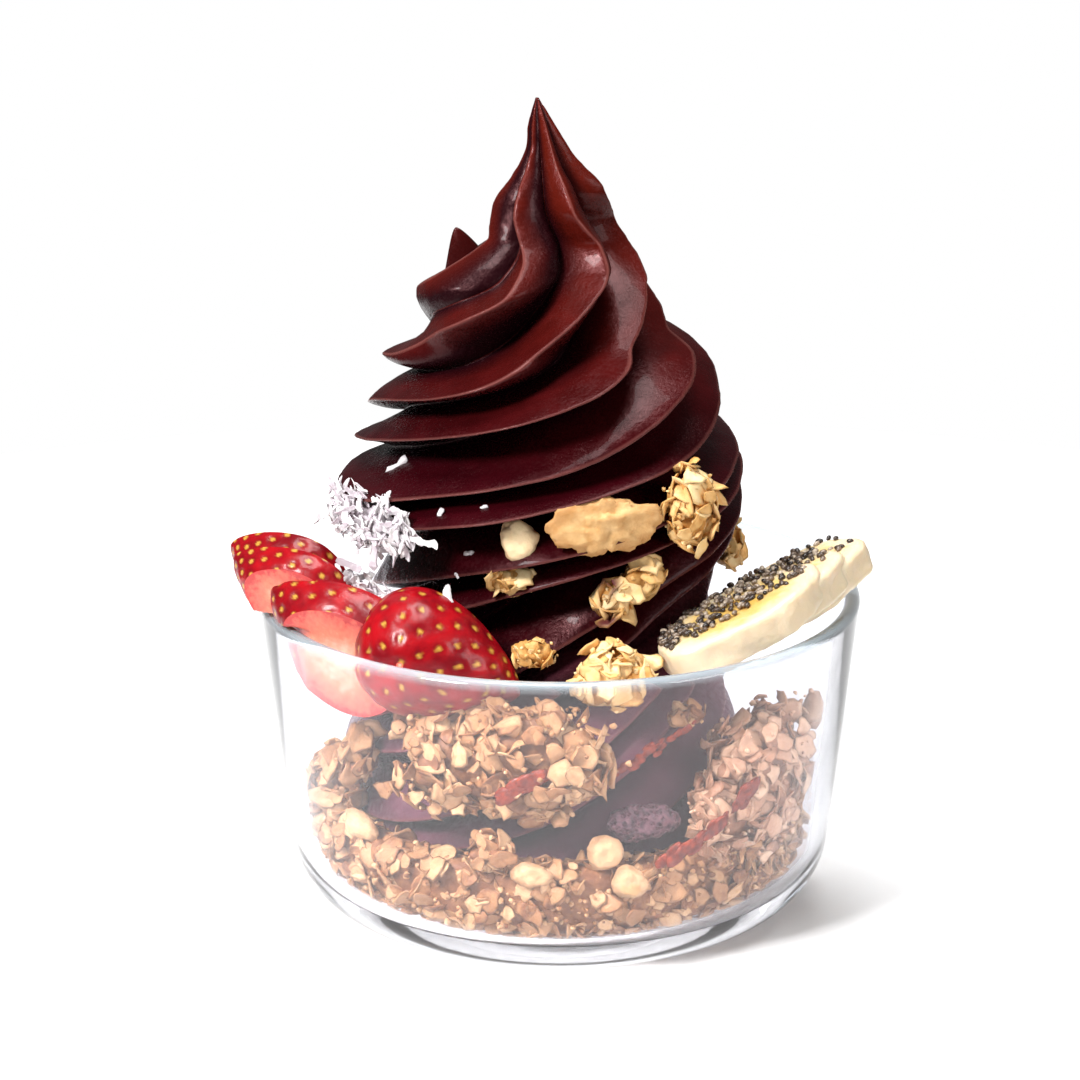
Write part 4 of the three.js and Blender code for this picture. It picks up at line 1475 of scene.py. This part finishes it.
@dataclass
class StrawberryPiece:
    """What lies between two parallel cuts of one strawberry.

    Attributes:
        node: The CAD node it stands for.
        at: The middle of the whole fruit.
        tip: The way the fruit's tip points.
        cuts: Where the piece starts and ends, from the middle, the way it faces.
        size: How large this fruit is, as a share of the length and the width below.
        face: The way the piece faces.
        length: The whole fruit's length.
        width: The whole fruit's width.
        seeds: How many seeds the whole fruit has.
        pit: How deep the dimple round each seed is, and how wide.
        seed: How far each seed stands up, and how wide it is.
    """

    node: str
    at: Triple
    tip: Triple
    cuts: tuple[float, float]
    size: float = 1.0
    face: Triple = (-0.42, -0.88, -0.22)
    length: float = 42
    width: float = 33
    seeds: int = 150
    pit: tuple[float, float] = (0.5, 1.1)
    seed: tuple[float, float] = (0.4, 0.5)

    def __post_init__(self) -> None:
        """Scales the fruit."""
        self.length *= self.size
        self.width *= self.size

    def fruit_radius(self, x: np.ndarray) -> np.ndarray:
        """The whole fruit's radius at each place along it."""
        share = np.clip(x / self.length + 0.5, 0, 1)
        return self.width / 2 * np.sin(math.pi * share**0.72) ** 0.62 * (1 - 0.12 * share)

    def section(self, offset: float, around: int) -> np.ndarray:
        """Cuts the fruit once.

        Args:
            offset: Where the cut is, from the fruit's middle.
            around: How many points its outline has.

        Returns:
            The outline, as a ring of points.
        """
        along = np.linspace(-self.length / 2, self.length / 2, 800)
        inside = along[self.fruit_radius(along) > abs(offset) + 1e-6]
        low, high = (inside[0], inside[-1]) if len(inside) else (0.0, 0.0)
        angle = circle(around)
        x = (low + high) / 2 + (high - low) / 2 * np.cos(angle)
        y = np.sign(np.sin(angle)) * np.sqrt(np.maximum(self.fruit_radius(x) ** 2 - offset**2, 0))
        return np.stack([x, y, np.full(around, offset)], 1)

    def to_nearest_seed(self, points: np.ndarray) -> np.ndarray:
        """Measures to the seeds, which lie in a spiral over the whole fruit.

        Args:
            points: Where to measure from.

        Returns:
            How far each point is from the nearest seed.
        """
        number = np.arange(self.seeds)
        x = ((number + 0.5) / self.seeds - 0.5) * self.length * 0.96
        radius, turn = self.fruit_radius(x), GOLDEN_TURN * number
        nearest = np.full(len(points), 1e9)
        for spot in np.stack([x, radius * np.cos(turn), radius * np.sin(turn)], 1):
            nearest = np.minimum(nearest, np.linalg.norm(points - spot, axis=1))
        return nearest

    def build(self, dish: Dish, skin: Material, flesh: Material) -> None:
        """Makes the piece.

        Args:
            dish: What it rests in and must not run through.
            skin: The material of its outside.
            flesh: The material of its cut faces.
        """
        around, noise = 160, Noise(len(self.node) * 7 + int(self.at[0]))
        most = float(self.fruit_radius(np.linspace(-1, 1, 400) * self.length / 2).max())
        start, end = self.cuts[0], min(self.cuts[1], most - 0.02)
        levels = end - (end - start) * (0.5 - 0.5 * np.cos(np.linspace(0, math.pi, 44)))
        side = np.array([self.section(level, around) for level in levels]).reshape(-1, 3)
        nearest = self.to_nearest_seed(side)
        pit, seed = (np.exp(-((nearest / wide) ** 2)) for _, wide in (self.pit, self.seed))
        relief = -self.pit[0] * pit + self.seed[0] * seed + 0.35 * noise.rough(side, 8)
        fade = np.minimum(np.abs(side[:, 2] - start), np.abs(side[:, 2] - self.cuts[1])) / 1.2
        outward = unit(side * np.array([0.35, 1, 1]))
        side = side + outward * (relief * np.clip(fade, 0.15, 1))[:, None]
        values = {"pit": pit, "seed": np.clip((0.82 - nearest) / 0.35, 0, 1)}
        parts = [Form(side, ring_faces(len(levels), around), values).with_finish(0)]
        rings = side.reshape(len(levels), around, 3)
        parts += [self.cut_face(rings[0], False, noise), self.cut_face(rings[-1], True, noise)]
        form = joined(parts)
        form.points = form.points @ axes_from(self.tip, self.face) + np.array(self.at)
        dish.keep_inside(form, 0.3)
        make_piece(self.node + "_fruit", form, [skin, flesh], [self.node])

    def cut_face(self, edge: np.ndarray, flip: bool, noise: Noise) -> Form:
        """A cut face inside one edge, in rings from the edge to its middle.

        Args:
            edge: The edge's points.
            flip: Whether the face looks the other way.
            noise: Makes it slightly uneven.

        Returns:
            The face, with value `ring` from 0 in the middle to 1 at the edge.
        """
        shares, middle = np.linspace(1, 0, 18), edge.mean(0)
        points = (middle + (edge - middle)[None] * shares[:, None, None]).reshape(-1, 3)
        ring = np.repeat(shares, len(edge))
        points[:, 2] += 0.35 * noise.rough(points, 5, 2) * np.clip((1 - ring) * 6, 0, 1)
        faces = ring_faces(len(shares), len(edge))
        if not flip:
            faces = [tuple(reversed(f)) for f in faces]
        return Form(points, faces, {"ring": ring}).with_finish(1)


@dataclass
class BananaFan:
    """Slanting slices of banana that lie like roof tiles, with chia seeds on them.

    Attributes:
        at: The middle of the front slice.
        step: How far each slice lies from the one before it.
        up: The way the slices face.
        along: The way their long side points.
        length: A slice's length.
        width: A slice's width.
        thickness: A slice's thickness.
        round_edge: The radius of its soft edges.
        seeds: How many chia seeds are laid on each slice, before the covered ones are left out.
    """

    at: Triple = (44, -38, 84)
    step: Triple = (6.2, 9, 0.8)
    up: Triple = (-0.35, -0.05, 0.93)
    along: Triple = (0.866, 0.5, 0.3)
    length: float = 46
    width: float = 26
    thickness: float = 8.2
    round_edge: float = 1.4
    seeds: tuple[int, ...] = (240, 130, 60)

    def slice_axes(self) -> np.ndarray:
        """The axes that all slices share."""
        return axes_from(self.along, self.up)

    def centre(self, number: int) -> np.ndarray:
        """The middle of one slice."""
        return np.array(self.at) + np.array(self.step) * number

    def slice_form(self, number: int) -> Form:
        """Shapes one slice: an oval disc with soft edges, a slightly facetted side and uneven faces.

        Args:
            number: Which slice it is, from 0 at the front.

        Returns:
            The slice, in its place.
        """
        noise, around = Noise(60 + number), 150
        angle = circle(around)
        swell = 1 + 0.018 * np.cos(5 * angle + number) + 0.01 * np.cos(3 * angle)
        rim = np.stack([self.length / 2 * np.cos(angle), self.width / 2 * np.sin(angle)], 1) * swell[:, None]
        half, r = self.thickness / 2, self.round_edge
        inset = r / (self.width / 2)
        shares, bend = (0.12, 0.3, 0.5, 0.7, 0.85, 0.94), np.linspace(0, math.pi / 2, 6)
        rows = [(s * (1 - inset), half, s) for s in shares]
        rows += [(1 + inset * (math.sin(b) - 1), half - r + r * math.cos(b), 1.2) for b in bend]
        rows += [(1, z, 1.2) for z in np.linspace(half - r, r - half, 7)[1:-1]]
        rows += [(1 + inset * (math.cos(b) - 1), r - half - r * math.sin(b), 1.2) for b in bend]
        rows += [(s * (1 - inset), -half, s) for s in reversed(shares)]
        rings = [np.column_stack([rim * scale, np.full(around, height)]) for scale, height, _ in rows]
        ring = [np.full(around, 1 if abs(height) > half - 1e-6 and at > 1 else at) for _, height, at in rows]
        form = capped_rings(np.array(rings), {"ring": np.array(ring)})
        p = form.points
        p[:, 2] += 0.35 * noise.rough(p, 7) * np.sign(p[:, 2])
        p[:, :2] += unit(p[:, :2] + 1e-9) * (0.55 * noise.rough(p, 5))[:, None]
        form.points = p @ self.slice_axes() + self.centre(number)
        return form

    def chia_form(self) -> Form:
        """Lays chia seeds in a band over the slices' inner sides, where no other slice covers them.

        Returns:
            The seeds, in one form.
        """
        rng = np.random.default_rng(71)
        axes, spots = self.slice_axes(), []
        for number, count in enumerate(self.seeds):
            along = rng.uniform(-0.45, 0.44, count) * self.length
            reach = np.sqrt(np.maximum(1 - (2 * along / self.length) ** 2, 0)) * self.width / 2
            across = reach * (0.97 - 1.3 * rng.random(count) ** 1.15)
            local = np.stack([along, across, np.full(count, self.thickness / 2 + 0.35)], 1)
            local[:, 2] += rng.uniform(-0.2, 0.35, count)
            world = local @ axes + self.centre(number)
            if number:
                ahead = (world - self.centre(number - 1)) @ axes.T
                covered = (2 * ahead[:, 0] / self.length) ** 2 + (2 * ahead[:, 1] / self.width) ** 2 < 1.02
                world = world[~(covered & (ahead[:, 2] < self.thickness / 2 + 0.3))]
            spots.append(world)
        placed = np.concatenate(spots)
        ups = unit(axes[2] + 0.25 * rng.standard_normal(placed.shape))
        turns = axes_from(rng.standard_normal(placed.shape), ups)
        half = rng.uniform(0.8, 1.15, len(placed))
        grain = [rough_ball(9, 6, 0.06, Noise(90 + n)) for n in range(3)]
        return copies(grain, placed, turns, np.stack([half, half * 0.66, half * 0.6], 1), rng)

    def build(self, banana: Material, chia: Material) -> None:
        """Makes the slices and the seeds.

        Args:
            banana: The slices' material.
            chia: The seeds' material.
        """
        for number in range(len(self.seeds)):
            node = f"banana_slice_{number + 1}"
            make_piece(node + "_fruit", self.slice_form(number), [banana], [node])
        make_piece("chia_seeds", self.chia_form(), [chia])


# ---- coconut


@dataclass
class CoconutHeap(Lump):
    """A heap of coconut shreds over a rough pad.

    Attributes:
        shreds: How many shreds it has.
        seed: What its random draws start from.
        flow: How strongly its shreds lie along it.
        hanging: Long shreds of their own: the place, the direction, the half length and a width.
        shred_half: The least and the greatest half length of the other shreds.
        shred_width: The width of a shred, as a share of that.
    """

    shreds: int
    seed: int
    flow: float
    hanging: tuple[tuple[Triple, Triple, float, float], ...] = ()
    shred_half: tuple[float, float] = (1.9, 3.7)
    shred_width: float = 0.64

    def build(self, material: Material) -> None:
        """Makes the heap, whose shreds lie flat over its outer side.

        Args:
            material: The coconut's material.
        """
        rng, count, half = np.random.default_rng(self.seed), self.shreds, np.array(self.half)
        shapes, axes = [coconut_shred(rng, 0.45) for _ in range(12)], self.axes()
        reach, turn = np.sqrt(rng.random(count)), rng.uniform(0, 2 * math.pi, count)
        outward = -np.sqrt(1.05 - reach**2) * rng.uniform(0.0, 1.0, count)
        local = np.stack([reach * np.cos(turn), outward, reach * np.sin(turn)], 1)
        spots = self.placed(local * half * np.array([0.84, 1, 0.8]))
        up = unit(-axes[1] + 0.45 * rng.standard_normal((count, 3)))
        turns = axes_from(axes[0] * self.flow + rng.standard_normal((count, 3)), up)
        size = rng.uniform(*self.shred_half, count)[:, None] * [1, self.shred_width, self.shred_width]
        forms = [copies(shapes, spots, turns, size, rng)]
        for spot, way, long, wide in self.hanging:
            turns = axes_from([way], up[:1])
            forms.append(copies(shapes, np.array([spot]), turns, np.array([[long, wide, wide]]), rng))
        # Painted shade: the pad takes the coconut's cool grey, as shade under the shreds.
        pad = rough_ball(40, 26, 0.35, Noise(self.seed)).tagged(tone=0.1)
        pad.points = self.placed(pad.points * half * np.array([0.62, 0.45, 0.36]))
        form = joined([pad, *forms])
        make_piece(self.node + "_shreds", form, [material], [self.node], smooth=False)


# ---- the studio


@dataclass
class Studio:
    """The floor, the world, the lights and the camera, in metres.

    Attributes:
        target: What the lights and the camera point at.
        distance: The camera's distance from it.
        elevation: The camera's angle above the level, in degrees.
        lens: The focal length, in millimetres.
        shift: How far the view is shifted, as shares of its width.
        floor_radius: The floor's radius.
        floor_gap: How far the floor lies under the dish.
        world_light: How strongly the world lights things.
        world_seen: How bright the world is where it is seen.
        lamps: The lights: a name, a place, a width and a power in watts.
    """

    target: Triple = (0.0, 0.0, 0.100)
    distance: float = 0.900
    elevation: float = 16.6
    lens: float = 119.83
    shift: tuple[float, float] = (-0.01833, -0.02463)
    floor_radius: float = 0.46
    floor_gap: float = 0.0002
    world_light: float = 0.10
    world_seen: float = 1.0
    lamps: tuple[tuple[str, Triple, float, float], ...] = (
        ("key", (-0.76, -0.66, 0.95), 0.32, 25.0),
        ("fill", (0.80, -0.60, 0.60), 0.40, 4.0),
        ("top", (-0.05, -0.05, 1.30), 0.60, 17.0),
    )

    def build(self) -> None:
        """Makes the floor, the world, the lights and the camera."""
        self.floor()
        self.world()
        for name, place, size, power in self.lamps:
            light = bpy.data.lights.new(name, "AREA")
            light.shape, light.size, light.energy = "SQUARE", size, power
            self.aimed(name, light, Vector(place))
        self.camera()

    def aimed(self, name: str, data: bpy.types.ID, place: Vector) -> bpy.types.Object:
        """Puts a light or a camera at a place and turns it to the target.

        Args:
            name: The object's name.
            data: The light or the camera.
            place: Where it stands, in metres.

        Returns:
            Its object.
        """
        made = bpy.data.objects.new(name, data)
        made.location = place
        made.rotation_euler = (Vector(self.target) - place).to_track_quat("-Z", "Y").to_euler()
        bpy.context.scene.collection.objects.link(made)
        return made

    def floor(self) -> None:
        """A pale round floor."""
        mesh, around = bpy.data.meshes.new("floor"), 64
        radius, down = self.floor_radius, -self.floor_gap
        rim = [(radius * math.cos(a), radius * math.sin(a), down) for a in circle(around)]
        mesh.from_pydata(rim, [], [tuple(range(around))])
        mesh.polygons.foreach_set("use_smooth", [True])
        recipe = Recipe("pale_floor")
        base = recipe.mix(recipe.patches(400, 0.3, 0.7, 2), (0.88, 0.88, 0.88), (0.90, 0.90, 0.90))
        mesh.materials.append(recipe.set(Base_Color=base, Roughness=0.7, Specular_IOR_Level=0.1))
        made = bpy.data.objects.new("floor", mesh)
        bpy.context.scene.collection.objects.link(made)

    def world(self) -> None:
        """A world that is white where it is seen, also through glass, but lights only softly."""
        bpy.context.scene.view_settings.view_transform = "Standard"
        world = bpy.data.worlds.new("studio")
        world.use_nodes = True
        nodes = Nodes(world.node_tree)
        path = nodes.tree.nodes.new("ShaderNodeLightPath").outputs
        seen = nodes.math("MAXIMUM", path["Is Camera Ray"], path["Is Singular Ray"])
        seen = nodes.math("MAXIMUM", seen, path["Is Transmission Ray"])
        sky = nodes.tree.nodes["Background"].inputs
        nodes.feed(sky["Color"], (1.0, 1.0, 1.0))
        nodes.feed(sky["Strength"], nodes.span(seen, 0, 1, (self.world_light, self.world_seen)))
        bpy.context.scene.world = world

    def camera(self) -> None:
        """A long lens a little above the rim."""
        lens = bpy.data.cameras.new("camera")
        lens.lens, lens.sensor_width = self.lens, 36
        lens.shift_x, lens.shift_y = self.shift
        rise = math.radians(self.elevation)
        offset = Vector((0, -math.cos(rise), math.sin(rise))) * self.distance
        bpy.context.scene.camera = self.aimed("camera", lens, Vector(self.target) + offset)


# ---- the bowl as a whole

# Each lump: its CAD node, centre, half sizes, azimuth, tilt and then its own fields.
CLUSTERS = (
    Cluster("granola_front", (-15, -56, 56), (25.5, 8, 19), -15, 4, 150, 11),
    Cluster("granola_left", (-49.5, -29.5, 47), (4, 4, 6.5), 60, 0, 12, 12),
    Cluster("granola_left_heap", (-56.5, -17, 33), (9, 5.5, 12), -66, 0, 45, 13),
    Cluster("granola_right_heap", (47, -35, 41), (21.5, 8, 19), 50, -12, 140, 14),
    Cluster("granola_on_swirl", (31.5, -34, 111), (7.5, 4.5, 9.5), 42, 0, 26, 15),
    Cluster("granola_stained", (16, -38, 92), (9.5, 3.6, 4.5), 24, -32, 16, 16, 0.4),
    Cluster("granola_bits", (-12.5, -39, 95), (5.5, 2.5, 3), 0, 0, 8, 17),
    Cluster("granola_rim_small", (-6.5, -50, 80), (4.4, 3.2, 4), 0, 0, 9, 18),
    Cluster("granola_rim", (12.5, -54, 75.5), (10.5, 5.5, 7.5), 12, -8, 34, 19),
    Cluster("granola_back_right", (43.5, 9, 88), (3, 3.5, 5.5), 0, 0, 9, 20),
    Cluster("granola_behind_wall", (30.5, -41, 61), (4, 3, 3.2), 40, 0, 7, 21),
    Cluster("granola_low_front", (-17, -59, 32.5), (5, 3.2, 5.2), -16, 0, 11, 22),
)

PEBBLES = (
    Pebble("almond_flake", (11.3, -42.5, 109.5), (14.4, 2.6, 6.6), 16, -5, 31, 0.5, 0.1, 1.6),
    Pebble("hazelnut", (-9.5, -41, 105.5), (4.4, 3, 5.2), -10, -12, 32, 1.1, 0.25),
    Pebble("oat_left", (-48, -37, 31), (5.6, 2.4, 3.2), -40, 18, 33, 1.0),
    Pebble("oat_front", (-6.5, -62.8, 28.5), (5.2, 2, 3), -4, 5, 34, 0.9),
    Pebble("nut_front", (11, -59.5, 33), (4.4, 2.8, 4.2), 10, 0, 35, 1.1),
    Pebble("nut_low", (16.8, -61, 26), (4.9, 2.4, 4), 18, 20, 36, 1.0),
)

CHIP = Pebble("acai_chip", (19.8, -53.5, 38.5), (9.2, 2.6, 4.6), 20, 4, 37, 0.0, 0.05, 0.9, "frozen_chip")

# Each fruit: its CAD node, centre, tip, cuts and size.
STRAWBERRIES = (
    StrawberryPiece(
        "strawberry_half", (-28.5, -45, 76.5), (0.9, -0.2, -0.3), (0, 20), face=(-0.25, -0.93, 0.1)
    ),
    StrawberryPiece("strawberry_slice_1", (-51.5, -31, 79), (-0.75, 0.2, 0.42), (2, 10), 1.08),
    StrawberryPiece("strawberry_slice_2", (-64.5, -21, 87.5), (-0.82, 0.3, 0.36), (2, 8), 0.86),
    StrawberryPiece("strawberry_slice_3", (-66.5, -9, 88), (-0.82, 0.3, 0.3), (2, 8), 0.84),
)

HANGING = (
    ((-50.5, -33.0, 102.0), (0.6, 0.0, -0.5), 3.2, 3.0),
    ((-44.6, -36.0, 101.0), (0.05, 0.0, -1.0), 4.6, 3.4),
    ((-51.0, -32.0, 96.5), (1.0, 0.0, 0.05), 4.2, 2.8),
    ((-58.5, -21.0, 105.5), (-0.6, 0.0, -0.7), 3.4, 2.6),
    ((-31.5, -45.0, 106.0), (0.9, 0.0, -0.45), 3.2, 2.8),
    ((-26.7, -44.5, 92.6), (0.3, 0.0, 1.0), 2.6, 3.6),
)

COCONUT = (
    CoconutHeap("coconut_heap", (-45.5, -28.5, 107), (20, 5, 9), -46, 6, 165, 51, 0.4, HANGING),
    CoconutHeap("coconut_low", (-43, -34, 89.5), (19, 3, 3.2), -38, 10, 110, 52, 1.8),
)

FRONT_TRAIL = ((-14, -64.5, 49.5), (-9, -65.5, 52), (-4, -66, 55), (1, -66, 57.5), (3.5, -65, 59.5))
RIGHT_TRAIL = ((24, -59, 30.5), (31, -57.5, 34), (38, -54, 38.5), (43, -51, 43), (46, -48.5, 46.5))
WALL_TRAIL = ((9, -57.5, 50.5), (15, -57, 53), (21, -55, 57), (28, -51.5, 60), (33, -49, 62))

SMEARS = (
    Smear("smear_front", FRONT_TRAIL, 1.5, 81),
    Smear("smear_right", RIGHT_TRAIL, 1.6, 82),
    Smear("smear_wall", WALL_TRAIL, 1.0, 83),
)

# For most of the granola, for what lies above the rim, for the right heap and for the nuts; the lighter
# golden colour above the rim is painted light, and the right heap's paler colour is painted haze.
OATS = (
    OatFinish(
        "toasted_oats", (0.60, 0.36, 0.18), (0.46, 0.245, 0.11), (0.33, 0.148, 0.056), (0.17, 0.058, 0.018)
    ),
    OatFinish("golden_oats_painted_light", (0.92, 0.70, 0.38), (0.85, 0.56, 0.25), (0.72, 0.41, 0.14), (0.50, 0.24, 0.06)),
    OatFinish("pale_oats_painted_haze", (0.70, 0.46, 0.30), (0.58, 0.34, 0.21), (0.45, 0.235, 0.14), (0.25, 0.105, 0.05)),
    OatFinish("toasted_nuts", (0.92, 0.70, 0.42), (0.72, 0.45, 0.20), (0.55, 0.28, 0.09), (0.33, 0.13, 0.03)),
)


def main() -> None:
    """Builds the object and its studio, in order."""
    logging.basicConfig(level=logging.INFO, format="%(name)s: %(message)s")
    dish, oats, coconut = Dish(), Oats(8), CoconutFinish().material()
    dish.build(GlassFinish().material())
    Swirl().build(AcaiFinish().material(), coconut)
    brown, golden, pale, nutty = (finish.material() for finish in OATS)
    Bed().build(oats, dish, brown)
    for cluster in CLUSTERS:
        # Painted light: the right heap takes a paler copy of the granola as painted haze, and what lies above
        # the rim a lighter golden copy as painted light.
        low = pale if cluster.node == "granola_right_heap" else brown
        cluster.build(oats, dish, golden if cluster.at[2] > dish.height - 6 else low)
    # Painted light: pebbles above the rim take the lighter nut colour, those inside the glass the darker oat
    # colour.
    for pebble in PEBBLES:
        pebble.build(nutty if pebble.at[2] > dish.height else brown)
    CHIP.build(ChipFinish().material())
    skin, flesh = BerrySkinFinish().material(), BerryFleshFinish().material()
    for piece in STRAWBERRIES:
        piece.build(dish, skin, flesh)
    BananaFan().build(BananaFinish().material(), ChiaFinish().material())
    for heap in COCONUT:
        heap.build(coconut)
    melted = SauceFinish().material()
    for smear in SMEARS:
        smear.build(dish, melted)
    Studio().build()


if __name__ == "__main__":
    main()
